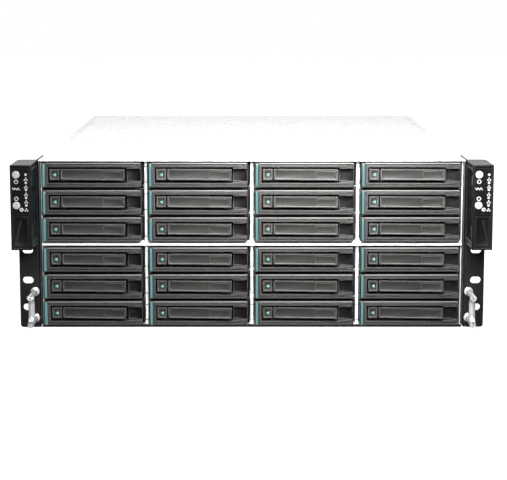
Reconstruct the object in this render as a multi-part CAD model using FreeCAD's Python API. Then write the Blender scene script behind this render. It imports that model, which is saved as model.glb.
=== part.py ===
import FreeCAD, Part
import math
import os

# Disk shelf enclosure, 4 rack units high, with 24 trays for 3.5 inch drives.
# Millimetres. +X is right seen from the front, +Y runs to the back, +Z is up.
# The origin is under the middle of the whole enclosure.

V = FreeCAD.Vector
UP = V(0, 0, 1)
BACK = V(0, 1, 0)

# Drives
drive_width = 101.6
drive_length = 147.0
drive_height = 26.1
drive_lid_step = 1.1           # the lid stands this far above the shoulders
drive_shoulder = 3.2
drive_socket_width = 42.0
drive_socket_height = 6.0
drive_socket_depth = 5.0
drive_socket_x = 24.0          # from the drive's right side to the middle of its socket

# Trays
columns = 4
rows = 6
rail_thickness = 1.2
bezel_overhang = 0.15          # bezel past each rail
drive_play = 0.1               # tray height over the drive's
bezel_depth = 9.0
bezel_reach = 3.0              # bezel front in front of the ears
bezel_chamfer = 0.8
bezel_right_gap = 1.9          # bezel's right end short of the tray's full width
housing_inset = 1.2            # housing behind the bezel, in from its rim
drive_front = 26.0             # drive's front end from the bezel front
rail_overrun = 8.0             # rail's back end behind the drive
rail_inset = 0.2               # rails below the bezel's top and above its bottom
vent_width = 46.0
vent_height = 7.6

# Recess, lever and windows in a bezel, from its left and lower edges
recess_left = 7.3
recess_bottom = 5.8
recess_top_bar = 5.3
recess_depth = 13.0
recess_wall = 2.0
scoop_width = 14.0
scoop_right_bar = 1.4
scoop_step = 1.1               # scoop shorter than the recess, above and below
scoop_lift = 3.0               # the scoop's centre in front of the bezel
pipe_left = 0.9
pipe_width = 3.0
pipe_depth = 4.0
pipe_margin = 1.4
window_gap = 1.5
window_width = 9.7
window_set_back = 0.8
lever_gap = 1.9                # window to lever
lever_end_gap = 0.7            # lever tip to the start of the scoop
lever_height = 11.2
lever_lift = 2.4               # lever's lower edge above the recess floor
lever_barrel_radius = 3.6
lever_front = 1.0              # lever front behind the bezel front, at its pivot
lever_bulge = 4.0              # the tip stands this much further forward
lever_tip_depth = 8.5
lever_web = 1.8
lever_flange = 1.0
lever_tip_wall = 2.0
lever_cavity_gap = 1.2
button_width = 20.0
button_height = 7.4
button_tip_margin = 3.2
button_gap = 0.3
button_lip = 0.7
button_lip_thickness = 1.2

# Drive cage
cage_set_back = 5.0            # cage's front edges behind the ears' faces
column_gap = 5.3               # between neighbouring trays
side_clearance = 0.55          # tray to divider
row_gap = 2.2
shelf_gap = 5.4                # between the rows above and below the shelf
shelf_height = 3.2
cage_sheet = 1.0
ledge_thickness = 0.8
ledge_gap = 0.3
ledge_width = 2.0
ledge_start = 7.0              # behind the cage's front edges

# Sheet metal body
sheet = 1.2
bend_radius = 1.6
body_depth = 508.0
cover_lip = 10.0
cover_lip_start = 200.0
rear_web = 4.5
rear_margin = 3.0

# Backplane
board_thickness = 2.4
board_edge = 1.5
board_gap = 2.0                # cage to backplane
connector_seat = 4.0           # connector's tip inside the drive's socket
connector_reach = 18.0         # connector's tip in front of the board
connector_play = 1.0           # connector narrower and lower than the socket
air_slot_width = 26.0
air_slot_margin = 7.0
air_slot_x = 31.0              # from a bay's left edge to the middle of its air slots
dock_gap = 14.0                # backplane to the modules at the back
dock_width = 56.0
dock_height = 14.0

# Modules at the back
module_play = 0.5
module_proud = 1.5
supply_width = 105.0
fan_radius = 36.0
fan_recess = 7.0
fan_bar = 2.4
fan_guard_thickness = 2.0
fan_top_margin = 8.0
inlet_width = 27.0
inlet_height = 20.0
inlet_depth = 16.0
inlet_margin = 18.0            # module's left side to the middle of its inlet
inlet_lift = 4.5
inlet_pin = 2.0
inlet_pin_height = 4.0
inlet_pin_pitch = 7.0
inlet_pin_length = 11.0
grip_width = 4.0
grip_reach = 22.0
grip_height = 60.0
grip_root = 8.0
grip_margin = 16.0             # module's right side to the grip
grip_lift = 44.0               # module's lower side to the middle of the grip
port_width = 24.0
port_height = 10.0
port_depth = 12.0
port_pitch = 40.0
port_count = 2
tab_width = 16.0
tab_height = 9.0
tab_tip_height = 3.0
tab_reach = 9.0
tab_margin = 6.0

# Rack ears
rack_unit = 44.45
rack_units = 4
ear_width = 22.0
ear_sheet = 2.5
ear_flange_depth = 40.0
ear_bend_radius = 3.5
ear_corner_radius = 3.0
slot_length = 11.2
slot_width = 7.2
slot_inset = 8.75              # ear's outer edge to the slot's middle
slot_rises = [22.225, 50.8, 82.55]   # above the rack space's lower limit

# Pull handles
handle_rod_radius = 3.0
handle_bend = 6.0              # corner cut back this far along each leg
handle_reach = 41.0            # ear front to the middle of the grip
handle_inset = 6.1             # body side to the middle of the rod
handle_lower = 10.0
handle_upper = 38.3

# Control pods
pod_inset = 1.2                # ear's inner edge to the pod
pod_height = 86.2
pod_reach = 45.0
pod_wall = 2.0
pod_chamfer = 1.2
pod_panel_margin = 2.0
pod_panel_recess = 0.4
pod_panel_top = 3.0
pod_panel_bottom = 37.0
push_radius = 3.9
push_gap = 0.3
push_proud = 0.8
push_length = 6.0
push_drop = 9.7                # pod's top to the button's middle
push_x = -4.2                  # from the pod's middle, to the left on both pods
port_cover_width = 15.3
port_cover_height = 30.4
port_cover_lift = 4.0
port_cover_gap = 0.3
port_cover_lip = 0.6
port_cover_thickness = 2.4
latch_window_depth = 9.0
latch_window_height = 10.5
latch_window_setback = 2.5
latch_window_drops = [11.5, 62.3]

# Worked out from the sizes above
tray_width = drive_width + 2 * (rail_thickness + bezel_overhang)
tray_height = drive_height + drive_play
column_pitch = tray_width + column_gap
divider_width = column_gap - 2 * side_clearance
row_pitch = tray_height + row_gap
upper_rows = rows // 2
edge_margin = sheet + ledge_thickness + ledge_gap
stack_height = rows * row_pitch - row_gap + shelf_gap - row_gap
body_height = stack_height + 2 * edge_margin
wall_top = body_height - sheet
bays_width = columns * column_pitch - column_gap
cage_width = bays_width + 2 * side_clearance
inner_width = cage_width + 2 * cage_sheet
body_width = inner_width + 2 * sheet
rack_width = body_width + 2 * ear_width
slot_offset = (rack_units * rack_unit - body_height) / 2

push_stand = push_proud - pod_panel_recess   # button's face in front of its pod
overall_depth = push_stand + pod_reach + body_depth + module_proud + grip_reach
panel_y = push_stand + pod_reach - overall_depth / 2
bezel_y = panel_y - bezel_reach
cage_y = panel_y + cage_set_back
rear_y = panel_y + body_depth
drive_back = drive_front + drive_length
rail_end = drive_back + rail_overrun
board_y = bezel_y + drive_back - connector_seat + connector_reach
cage_end_y = board_y - board_gap
dock_y = board_y + board_thickness
module_y = dock_y + dock_gap

housing_depth = recess_depth + recess_wall
recess_top = tray_height - recess_top_bar
bezel_width = tray_width - bezel_right_gap
scoop_right = bezel_width - scoop_right_bar
scoop_left = scoop_right - scoop_width
scoop_radius = recess_depth + scoop_lift
window_left = recess_left + window_gap
lever_left = window_left + window_width + lever_gap
lever_right = scoop_left - lever_end_gap
lever_bottom = recess_bottom + lever_lift
lever_top = lever_bottom + lever_height
pivot_x = lever_left + lever_barrel_radius
pivot_y = lever_front + lever_barrel_radius
button_right = lever_right - button_tip_margin
button_left = button_right - button_width
button_bottom = (lever_bottom + lever_top - button_height) / 2
button_top = button_bottom + button_height

pod_width = ear_width - pod_inset
pod_middle = rack_width / 2 - pod_width / 2
pod_bottom = body_height - pod_height
pod_front_y = panel_y - pod_reach
push_z = body_height - push_drop


def block(x0, x1, y0, y1, z0, z1):
    """A box between two corners."""
    return Part.makeBox(x1 - x0, y1 - y0, z1 - z0, V(x0, y0, z0))


def rod(radius, start, direction, length):
    """A cylinder from a start point."""
    return Part.makeCylinder(radius, length, start, direction)


def fused(pieces):
    """One solid from touching pieces, without the seams between flush faces."""
    first, *rest = pieces
    return first.fuse(rest).removeSplitter() if rest else first


def mirrored(shape):
    """The same shape on the other side of the enclosure."""
    return shape.mirror(V(0, 0, 0), V(1, 0, 0))


def edges_along(shape, direction, test):
    """Straight edges along a direction whose middle passes a test."""
    found = []
    for edge in shape.Edges:
        if edge.Curve.TypeId != "Part::GeomLine":
            continue
        run = edge.tangentAt(edge.FirstParameter)
        if abs(abs(run.dot(direction)) - 1) < 1e-6 and test(edge.CenterOfMass):
            found.append(edge)
    return found


def row_base(row):
    """Height of a tray's underside; row 0 is at the top."""
    drop = (row + 1) * tray_height + row * row_gap
    if row >= upper_rows:
        drop += shelf_gap - row_gap
    return body_height - edge_margin - drop


def column_left(column):
    """Left edge of a column's bezels; column 0 is on the left."""
    return -bays_width / 2 + column * column_pitch


# Tray, drawn with its bezel's lower left front corner at the origin


def tray_bezel():
    bezel = block(0, bezel_width, 0, bezel_depth, 0, tray_height)
    rim = [edge for edge in bezel.Edges if abs(edge.CenterOfMass.y) < 1e-6]
    return bezel.makeChamfer(bezel_chamfer, rim)


def tray_rails():
    """Side plates that hold the drive."""
    left = block(bezel_overhang, bezel_overhang + rail_thickness, bezel_depth, rail_end,
                 rail_inset, tray_height - rail_inset)
    return [left, left.translated(V(drive_width + rail_thickness, 0, 0))]


def finger_scoop():
    """Quarter-round hollow that rises from behind the lever's tip to the bezel face."""
    reach = math.sqrt(scoop_radius ** 2 - scoop_lift ** 2)
    low = recess_bottom + scoop_step
    high = recess_top - scoop_step
    drum = rod(scoop_radius, V(scoop_right - reach, -scoop_lift, low), UP, high - low)
    window = block(scoop_left, scoop_right, -1, recess_depth, low, high)
    return drum.common(window)


def tray_vent():
    """Air opening through the recess wall, behind the lever."""
    middle = (pivot_x + lever_right) / 2
    low = (recess_bottom + recess_top - vent_height) / 2
    return block(middle - vent_width / 2, middle + vent_width / 2,
                 recess_depth - 1, housing_depth + 1, low, low + vent_height)


def light_pipe(front):
    return block(pipe_left, pipe_left + pipe_width, front, pipe_depth,
                 pipe_margin, tray_height - pipe_margin)


def tray_carrier():
    housing = block(bezel_overhang, tray_width - bezel_overhang, bezel_depth, housing_depth,
                    housing_inset, tray_height - housing_inset)
    recess = block(recess_left, scoop_left, -1, recess_depth, recess_bottom, recess_top)
    cuts = [recess, finger_scoop(), light_pipe(-1), tray_vent()]
    return fused([tray_bezel(), housing] + tray_rails()).cut(cuts)


def status_window():
    return block(window_left, window_left + window_width, window_set_back, recess_depth,
                 lever_bottom, lever_top)


def disk_drive():
    inner = bezel_overhang + rail_thickness
    low = drive_play / 2
    body = block(inner, inner + drive_width, drive_front, drive_back, low,
                 low + drive_height - drive_lid_step)
    lid = block(inner + drive_shoulder, inner + drive_width - drive_shoulder,
                drive_front + drive_shoulder, drive_back - drive_shoulder,
                low + drive_height - drive_lid_step, low + drive_height)
    socket_x = inner + drive_width - drive_socket_x
    socket = block(socket_x - drive_socket_width / 2, socket_x + drive_socket_width / 2,
                   drive_back - drive_socket_depth, drive_back + 1, low - 1,
                   low + drive_socket_height)
    return fused([body, lid]).cut(socket)


def tray():
    return Part.makeCompound([tray_carrier(), light_pipe(0), status_window(), disk_drive()])


# Lever, drawn in its tray's frame


def lever_outline(shift):
    """Solid between the lever's sloping front and its back, moved back by a shift."""
    tip_y = lever_front - lever_bulge
    back_y = pivot_y + lever_barrel_radius
    turn = lever_barrel_radius * math.sqrt(0.5)
    corners = [V(pivot_x, back_y, 0), V(lever_right, tip_y + lever_tip_depth, 0),
               V(lever_right, tip_y, 0), V(pivot_x, lever_front, 0),
               V(lever_left, lever_front, 0), V(lever_left, pivot_y, 0)]
    heel = Part.Arc(corners[-1], V(pivot_x - turn, pivot_y + turn, 0), corners[0])
    outline = Part.Wire([Part.makePolygon(corners), heel.toShape()])
    solid = Part.Face(outline).extrude(V(0, 0, lever_height))
    return solid.translated(V(0, shift, lever_bottom))


def button_opening(margin):
    return block(button_left - margin, button_right + margin, -lever_bulge - 1, recess_depth,
                 button_bottom - margin, button_top + margin)


def lever_body():
    cavity = block(pivot_x + lever_barrel_radius + lever_cavity_gap,
                   lever_right - lever_tip_wall, -lever_bulge - 1, recess_depth,
                   lever_bottom + lever_flange, lever_top - lever_flange)
    hollow = lever_outline(lever_web).common(cavity)
    return lever_outline(0).cut([hollow, button_opening(0)])


def release_button():
    """Button face in the lever's window, with a lip behind the lever's front."""
    back = lever_web + button_lip_thickness
    face = lever_outline(0).cut(lever_outline(back)).common(button_opening(-button_gap))
    lip = lever_outline(lever_web).cut(lever_outline(back)).common(button_opening(button_lip))
    return fused([face, lip])


def lever():
    return Part.makeCompound([lever_body(), release_button()])


# Drive cage


def ledges(x0, x1, row_numbers):
    """Runners under the rails of the trays in some rows."""
    runners = []
    for row in row_numbers:
        top = row_base(row) - ledge_gap
        runners.append(block(x0, x1, cage_y + ledge_start, cage_end_y,
                             top - ledge_thickness, top))
    return runners


def divider(x, low, high, row_numbers):
    """Folded upright between two columns, open at the back, with runners on both sides."""
    half = divider_width / 2
    upright = block(x - half, x + half, cage_y, cage_end_y, low, high)
    inside = block(x - half + cage_sheet, x + half - cage_sheet, cage_y + cage_sheet,
                   cage_end_y + 1, low - 1, high + 1)
    runners = ledges(x - half - ledge_width, x - half, row_numbers)
    runners += ledges(x + half, x + half + ledge_width, row_numbers)
    return fused([upright.cut(inside)] + runners)


def cage_shelf(top):
    """Sheet shelf under the upper trays, its front and back edges folded down."""
    half = cage_width / 2
    shelf = block(-half, half, cage_y, cage_end_y, top - shelf_height, top)
    inside = block(-half - 1, half + 1, cage_y + cage_sheet, cage_end_y - cage_sheet,
                   top - shelf_height - 1, top - cage_sheet)
    return shelf.cut(inside)


def cage_side(row_numbers):
    half = cage_width / 2
    plate = block(half, half + cage_sheet, cage_y, cage_end_y, sheet, wall_top)
    return fused([plate] + ledges(half - ledge_width, half, row_numbers))


def drive_cage():
    shelf_top = row_base(upper_rows - 1) - ledge_gap
    upper = list(range(upper_rows - 1))
    lower = list(range(upper_rows, rows))
    solids = [cage_shelf(shelf_top), cage_side(upper + lower)]
    solids.append(mirrored(solids[1]))
    for column in range(1, columns):
        x = column_left(column) - column_gap / 2
        solids.append(divider(x, shelf_top, wall_top, upper))
        solids.append(divider(x, sheet, shelf_top - shelf_height, lower))
    return Part.makeCompound(solids)


# Sheet metal body


def rear_openings(play):
    """Spaces in the rear frame: (left, right, low, high) of each supply and I/O module."""
    low = sheet + rear_margin
    high = wall_top - rear_margin
    side = inner_width / 2 - rear_web
    split = (low + high) / 2
    inner = side - supply_width - rear_web
    supplies = [(-side, -side + supply_width, low, high), (side - supply_width, side, low, high)]
    modules = [(-inner, inner, low, split - rear_web / 2), (-inner, inner, split + rear_web / 2, high)]
    return [[(x0 + play, x1 - play, z0 + play, z1 - play) for x0, x1, z0, z1 in group]
            for group in (supplies, modules)]


def chassis_base():
    half = body_width / 2
    tub = block(-half, half, panel_y, rear_y, 0, wall_top)
    tub = tub.makeFillet(bend_radius, edges_along(tub, BACK, lambda middle: middle.z < sheet))
    inside = block(-inner_width / 2, inner_width / 2, panel_y - 1, rear_y - sheet,
                   sheet, wall_top + 1)
    openings = [block(x0, x1, rear_y - 2 * sheet, rear_y + sheet, z0, z1)
                for group in rear_openings(0) for x0, x1, z0, z1 in group]
    return tub.cut([inside] + openings)


def top_cover():
    half = body_width / 2
    plate = block(-half, half, panel_y, rear_y, wall_top, body_height)
    lip = block(inner_width / 2 - sheet, inner_width / 2, panel_y + cover_lip_start,
                rear_y - sheet - rear_margin, wall_top - cover_lip, wall_top)
    return fused([plate, lip, mirrored(lip)])


# Backplane


def bay_connector(column, row):
    """Block on the board whose tip stands in the socket of one bay's drive."""
    right = column_left(column) + tray_width - bezel_overhang - rail_thickness
    x = right - drive_socket_x
    half = drive_socket_width / 2 - connector_play
    low = row_base(row) + connector_play
    high = row_base(row) + drive_play / 2 + drive_socket_height - connector_play
    return block(x - half, x + half, board_y - connector_reach, board_y, low, high)


def air_slots():
    """Two tall openings in the board for each column, above and below the shelf."""
    slots = []
    for column in range(columns):
        x = column_left(column) + air_slot_x
        for first, last in ((0, upper_rows - 1), (upper_rows, rows - 1)):
            low = row_base(last) + air_slot_margin
            high = row_base(first) + tray_height - air_slot_margin
            slots.append(block(x - air_slot_width / 2, x + air_slot_width / 2,
                               board_y - 1, dock_y + 1, low, high))
    return slots


def backplane():
    half = inner_width / 2 - board_edge
    board = block(-half, half, board_y, dock_y, sheet, wall_top - board_edge)
    solids = [board.cut(air_slots())]
    for column in range(columns):
        solids += [bay_connector(column, row) for row in range(rows)]
    for group in rear_openings(0):
        for x0, x1, z0, z1 in group:
            x, z = (x0 + x1) / 2, (z0 + z1) / 2
            solids.append(block(x - dock_width / 2, x + dock_width / 2, dock_y, module_y,
                                z - dock_height / 2, z + dock_height / 2))
    return Part.makeCompound(solids)


# Modules at the back


def fan_guard(x, z):
    """Crossed bars over a fan opening."""
    back = rear_y + module_proud
    front = back - fan_guard_thickness
    reach = fan_radius + fan_bar
    across = block(x - reach, x + reach, front, back, z - fan_bar / 2, z + fan_bar / 2)
    upright = block(x - fan_bar / 2, x + fan_bar / 2, front, back, z - reach, z + reach)
    return across.fuse(upright)


def supply_grip(x, z):
    """Tapered fin to pull a supply out by."""
    face = rear_y + module_proud
    low, high = z - grip_height / 2, z + grip_height / 2
    side = Part.makePolygon([V(x, face, low - grip_root), V(x, face + grip_reach, low),
                             V(x, face + grip_reach, high), V(x, face, high + grip_root),
                             V(x, face, low - grip_root)])
    return Part.Face(side).extrude(V(grip_width, 0, 0))


def inlet_cuts(x, z):
    back = rear_y + module_proud
    socket = block(x - inlet_width / 2, x + inlet_width / 2, back - inlet_depth, back + 1,
                   z - inlet_height / 2, z + inlet_height / 2)
    pins = []
    for number in (-1, 0, 1):
        middle = x + number * inlet_pin_pitch
        pins.append(block(middle - inlet_pin / 2, middle + inlet_pin / 2, back - inlet_depth,
                          back - inlet_depth + inlet_pin_length,
                          z - inlet_pin_height / 2, z + inlet_pin_height / 2))
    return socket.cut(pins)


def power_supply(x0, x1, z0, z1):
    back = rear_y + module_proud
    middle = (x0 + x1) / 2
    fan_z = z1 - fan_top_margin - fan_radius
    inlet_z = z0 + inlet_lift + inlet_height / 2
    opening = rod(fan_radius, V(middle, back - fan_recess, fan_z), BACK, fan_recess + 1)
    body = block(x0, x1, module_y, back, z0, z1).cut([opening, inlet_cuts(x0 + inlet_margin, inlet_z)])
    return fused([body, fan_guard(middle, fan_z), supply_grip(x1 - grip_margin, z0 + grip_lift)])


def power_supplies():
    solids = []
    for x0, x1, z0, z1 in rear_openings(module_play)[0]:
        solids.append(power_supply(x0, x1, z0, z1))
    return Part.makeCompound(solids)


def ejector_tab(x, z):
    """Thumb tab that a module is drawn out by, thinner towards its tip."""
    face = rear_y + module_proud
    step = (tab_height - tab_tip_height) / 2
    side = Part.makePolygon([V(x, face, z), V(x, face + tab_reach, z + step),
                             V(x, face + tab_reach, z + tab_height - step),
                             V(x, face, z + tab_height), V(x, face, z)])
    return Part.Face(side).extrude(V(tab_width, 0, 0))


def io_module(x0, x1, z0, z1):
    back = rear_y + module_proud
    middle = (x0 + x1) / 2
    z = (z0 + z1) / 2
    body = block(x0, x1, module_y, back, z0, z1)
    ports = []
    for number in range(port_count):
        x = middle + (number - (port_count - 1) / 2) * port_pitch
        ports.append(block(x - port_width / 2, x + port_width / 2, back - port_depth, back + 1,
                           z - port_height / 2, z + port_height / 2))
    tabs = [ejector_tab(x, z0 + tab_margin)
            for x in (x0 + tab_margin, x1 - tab_margin - tab_width)]
    return fused([body.cut(ports)] + tabs)


def io_modules():
    return Part.makeCompound([io_module(*space) for space in rear_openings(module_play)[1]])


# Ears, handles and pods, drawn on the right side


def obround(x, z):
    """Cutter for a rounded slot that runs sideways."""
    run = (slot_length - slot_width) / 2
    reach = ear_sheet + 2
    start = V(x, panel_y - 1, z)
    middle = block(x - run, x + run, start.y, start.y + reach, z - slot_width / 2, z + slot_width / 2)
    ends = [rod(slot_width / 2, start + V(side * run, 0, 0), BACK, reach) for side in (-1, 1)]
    return middle.fuse(ends).removeSplitter()


def rack_ear():
    inner = body_width / 2
    outer = rack_width / 2
    bend = panel_y + ear_flange_depth
    outline = Part.makePolygon([
        V(inner, panel_y, 0), V(outer, panel_y, 0), V(outer, panel_y + ear_sheet, 0),
        V(inner + ear_sheet, panel_y + ear_sheet, 0), V(inner + ear_sheet, bend, 0),
        V(inner, bend, 0), V(inner, panel_y, 0)])
    ear = Part.Face(outline).extrude(V(0, 0, body_height))
    corner = edges_along(ear, UP, lambda middle: middle.distanceToPoint(
        V(inner, panel_y, body_height / 2)) < 1e-3)
    ear = ear.makeFillet(ear_bend_radius, corner)
    tips = edges_along(ear, BACK, lambda middle: middle.x > outer - 1e-3)
    ear = ear.makeFillet(ear_corner_radius, tips)
    return ear.cut([obround(outer - slot_inset, rise - slot_offset) for rise in slot_rises])


def pull_handle():
    """Round bar bent into a U with mitred corners, standing on the ear's front face."""
    x = body_width / 2 + handle_inset
    root, front = panel_y, panel_y - handle_reach
    low, high = handle_lower, handle_upper
    route = [(root, low), (front + handle_bend, low), (front, low + handle_bend),
             (front, high - handle_bend), (front + handle_bend, high), (root, high)]
    path = Part.makePolygon([V(x, y, z) for y, z in route])
    section = Part.Wire([Part.makeCircle(handle_rod_radius, V(x, root, low), BACK)])
    return path.makePipeShell([section], True, True, 1)


def latch_windows():
    """Openings in the pod's inner side for the cover's latches."""
    inner = pod_middle - pod_width / 2
    front = pod_front_y + latch_window_setback
    return [block(inner - 1, inner + pod_wall + 1, front, front + latch_window_depth,
                  body_height - drop - latch_window_height, body_height - drop)
            for drop in latch_window_drops]


def port_cover_space(middle, margin):
    low = pod_bottom + port_cover_lift
    return block(middle - port_cover_width / 2 - margin, middle + port_cover_width / 2 + margin,
                 pod_front_y - 1, pod_front_y + pod_wall,
                 low - margin, low + port_cover_height + margin)


def pod_shell():
    half = pod_width / 2
    shell = block(pod_middle - half, pod_middle + half, pod_front_y, panel_y,
                  pod_bottom, body_height)
    front = [edge for edge in shell.Edges if abs(edge.CenterOfMass.y - pod_front_y) < 1e-6]
    shell = shell.makeChamfer(pod_chamfer, front)
    inside = block(pod_middle - half + pod_wall, pod_middle + half - pod_wall,
                   pod_front_y + pod_wall, panel_y + 1,
                   pod_bottom + pod_wall, body_height - pod_wall)
    panel = block(pod_middle - half + pod_panel_margin, pod_middle + half - pod_panel_margin,
                  pod_front_y - 1, pod_front_y + pod_panel_recess,
                  pod_bottom + pod_panel_bottom, body_height - pod_panel_top)
    return shell.cut([inside, panel, port_cover_space(pod_middle, 0)] + latch_windows())


def push_bore(middle):
    """Hole for a pod's button; both pods have it left of the middle."""
    start = V(middle + push_x, pod_front_y - 1, push_z)
    return rod(push_radius + push_gap, start, BACK, pod_wall + 2)


def push_button(middle):
    start = V(middle + push_x, pod_front_y - push_proud + pod_panel_recess, push_z)
    return rod(push_radius, start, BACK, push_length)


def port_cover(middle):
    """Snap-in cover with a lip behind the pod's front wall."""
    low = pod_bottom + port_cover_lift
    gap, lip = port_cover_gap, port_cover_lip
    face = block(middle - port_cover_width / 2 + gap, middle + port_cover_width / 2 - gap,
                 pod_front_y, pod_front_y + port_cover_thickness,
                 low + gap, low + port_cover_height - gap)
    rim = block(middle - port_cover_width / 2 - lip, middle + port_cover_width / 2 + lip,
                pod_front_y + pod_wall, pod_front_y + pod_wall + port_cover_thickness,
                low - lip, low + port_cover_height + lip)
    return fused([face, rim])


def both_sides(shape):
    return Part.makeCompound([shape, mirrored(shape)])


def control_pods():
    shell = pod_shell()
    return Part.makeCompound([shell.cut(push_bore(pod_middle)),
                              mirrored(shell).cut(push_bore(-pod_middle))])


def enclosure():
    """Every node's name and shape."""
    nodes = {
        "chassis_base": chassis_base(),
        "top_cover": top_cover(),
        "drive_cage": drive_cage(),
        "backplane": backplane(),
        "power_supplies": power_supplies(),
        "io_modules": io_modules(),
        "rack_ears": both_sides(rack_ear()),
        "pull_handles": both_sides(pull_handle()),
        "control_pods": control_pods(),
        "port_covers": both_sides(port_cover(pod_middle)),
        "left_push_button": push_button(-pod_middle),
        "right_push_button": push_button(pod_middle),
    }
    one_tray, one_lever = tray(), lever()
    for column in range(columns):
        for row in range(rows):
            place = V(column_left(column), bezel_y, row_base(row))
            bay = f"c{column + 1}_r{row + 1}"
            nodes[f"tray_{bay}"] = one_tray.translated(place)
            nodes[f"lever_{bay}"] = one_lever.translated(place)
    return nodes


os.makedirs("parts", exist_ok=True)
for name, shape in enclosure().items():
    shape.exportStep(f"parts/{name}.step")
print(f"body {body_width:.1f} x {body_height:.1f}, over the ears {rack_width:.1f},"
      f" overall depth {overall_depth:.1f}")
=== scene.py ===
import math

import bmesh
import bpy
from mathutils import Euler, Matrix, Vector


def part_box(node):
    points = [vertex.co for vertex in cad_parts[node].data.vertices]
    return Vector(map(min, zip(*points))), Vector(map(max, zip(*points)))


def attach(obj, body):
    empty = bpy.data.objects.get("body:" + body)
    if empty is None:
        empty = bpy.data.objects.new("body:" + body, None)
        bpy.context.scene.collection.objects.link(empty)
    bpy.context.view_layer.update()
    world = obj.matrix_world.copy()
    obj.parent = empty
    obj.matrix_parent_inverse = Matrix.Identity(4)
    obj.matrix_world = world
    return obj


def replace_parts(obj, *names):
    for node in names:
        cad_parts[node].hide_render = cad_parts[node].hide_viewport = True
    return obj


# Disk shelf enclosure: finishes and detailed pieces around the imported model.
# Places are in metres, and the sizes in the dictionaries are in millimetres.

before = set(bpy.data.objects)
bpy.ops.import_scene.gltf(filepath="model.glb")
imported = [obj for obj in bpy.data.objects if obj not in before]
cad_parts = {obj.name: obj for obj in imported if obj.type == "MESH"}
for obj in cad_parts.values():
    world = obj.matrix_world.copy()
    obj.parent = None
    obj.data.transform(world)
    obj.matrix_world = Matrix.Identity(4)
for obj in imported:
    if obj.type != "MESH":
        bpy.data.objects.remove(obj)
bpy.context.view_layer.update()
mm = 0.001
close = 0.1 * mm  # what counts as the same place
over = 1.0  # how far a cutter reaches past a surface
columns = range(1, 5)
rows = range(1, 7)
print("frame loaded with", len(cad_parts), "nodes")


# Small modelling helpers

def deselectAll():
    bpy.ops.object.select_all(action="DESELECT")


def pickOnly(*pieces):
    deselectAll()
    for piece in pieces:
        piece.select_set(True)
    bpy.context.view_layer.objects.active = pieces[0]


def settle(piece, name):
    # name it and put its place into the mesh
    piece.name = name
    piece.data.name = name
    pickOnly(piece)
    bpy.ops.object.transform_apply(location=True, rotation=True, scale=True)
    return piece


def addBlock(name, low, high):
    low, high = Vector(low), Vector(high)
    deselectAll()
    bpy.ops.mesh.primitive_cube_add(size=1, location=(low + high) / 2)
    piece = bpy.context.object
    piece.scale = high - low
    return settle(piece, name)


def addRod(name, radius, start, end, sides=32):
    start, end = Vector(start), Vector(end)
    deselectAll()
    bpy.ops.mesh.primitive_cylinder_add(vertices=sides, radius=radius, depth=(end - start).length,
                                        location=(start + end) / 2)
    piece = bpy.context.object
    piece.rotation_euler = (end - start).to_track_quat("Z", "Y").to_euler()
    return settle(piece, name)


def addRing(name, major, minor, centre, around, across):
    # ring about the Y direction
    deselectAll()
    bpy.ops.mesh.primitive_torus_add(major_radius=major, minor_radius=minor, location=centre,
                                     major_segments=around, minor_segments=across)
    piece = bpy.context.object
    piece.rotation_euler = Vector((0, 1, 0)).to_track_quat("Z", "Y").to_euler()
    return settle(piece, name)


def editing(piece, kind, everything=False):
    # edit mode with nothing or everything selected; kind is VERT, EDGE or FACE
    pickOnly(piece)
    bpy.ops.object.mode_set(mode="EDIT")
    bpy.ops.mesh.select_mode(type=kind)
    bpy.ops.mesh.select_all(action="SELECT" if everything else "DESELECT")
    return bmesh.from_edit_mesh(piece.data)


def doneEditing(piece):
    bpy.ops.object.mode_set(mode="OBJECT")
    return piece


def editChosen(piece, kind, test):
    # edit mode with what passes the test selected
    mesh = editing(piece, kind)
    for item in {"VERT": mesh.verts, "EDGE": mesh.edges, "FACE": mesh.faces}[kind]:
        if test(item):
            item.select_set(True)
    mesh.select_flush_mode()
    bmesh.update_edit_mesh(piece.data)


def middleOf(item):
    total = Vector()
    for corner in item.verts:
        total += corner.co
    return total / len(item.verts)


def facesFront(face):
    return face.normal.y < -0.99


def insetFaces(piece, test, width, sink=0.0):
    editChosen(piece, "FACE", test)
    bpy.ops.mesh.inset(thickness=width * mm)
    if sink:
        bpy.ops.mesh.inset(thickness=width * mm * 0.01, depth=-sink * mm)
    return doneEditing(piece)


def bevelEdges(piece, test, width, segments=3):
    editChosen(piece, "EDGE", test)
    bpy.ops.mesh.bevel(offset=width * mm, segments=segments, affect="EDGES")
    return doneEditing(piece)


def slideCorners(piece, test, step):
    editChosen(piece, "VERT", test)
    bpy.ops.transform.translate(value=[distance * mm for distance in step])
    return doneEditing(piece)


def applied(piece, kind, **settings):
    # add a modifier with these settings and apply it
    pickOnly(piece)
    modifier = piece.modifiers.new(kind.title(), kind)
    for setting, value in settings.items():
        setattr(modifier, setting, value)
    bpy.ops.object.modifier_apply(modifier=modifier.name)
    return piece


def cut(piece, *tools, operation="DIFFERENCE"):
    for tool in tools:
        applied(piece, "BOOLEAN", operation=operation, object=tool, solver="EXACT")
        bpy.data.objects.remove(tool)
    return piece


def soften(piece, width, segments=2):
    # round the edges that turn by more than 50 degrees
    return applied(piece, "BEVEL", width=width * mm, segments=segments, limit_method="ANGLE",
                   angle_limit=math.radians(50), use_clamp_overlap=True)


def painted(piece, finish):
    piece.data.materials.clear()
    piece.data.materials.append(finishes[finish])
    return piece


def finished(piece, finish, edge=0.0, segments=2, angle=35):
    # soften its edges, shade it smooth and paint it
    if edge:
        soften(piece, edge, segments)
    pickOnly(piece)
    bpy.ops.object.shade_smooth_by_angle(angle=math.radians(angle))
    return painted(piece, finish)


def joined(name, pieces):
    pickOnly(*pieces)
    if len(pieces) > 1:
        bpy.ops.object.join()
    piece = bpy.context.view_layer.objects.active
    piece.name = name
    piece.data.name = name
    return piece


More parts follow.
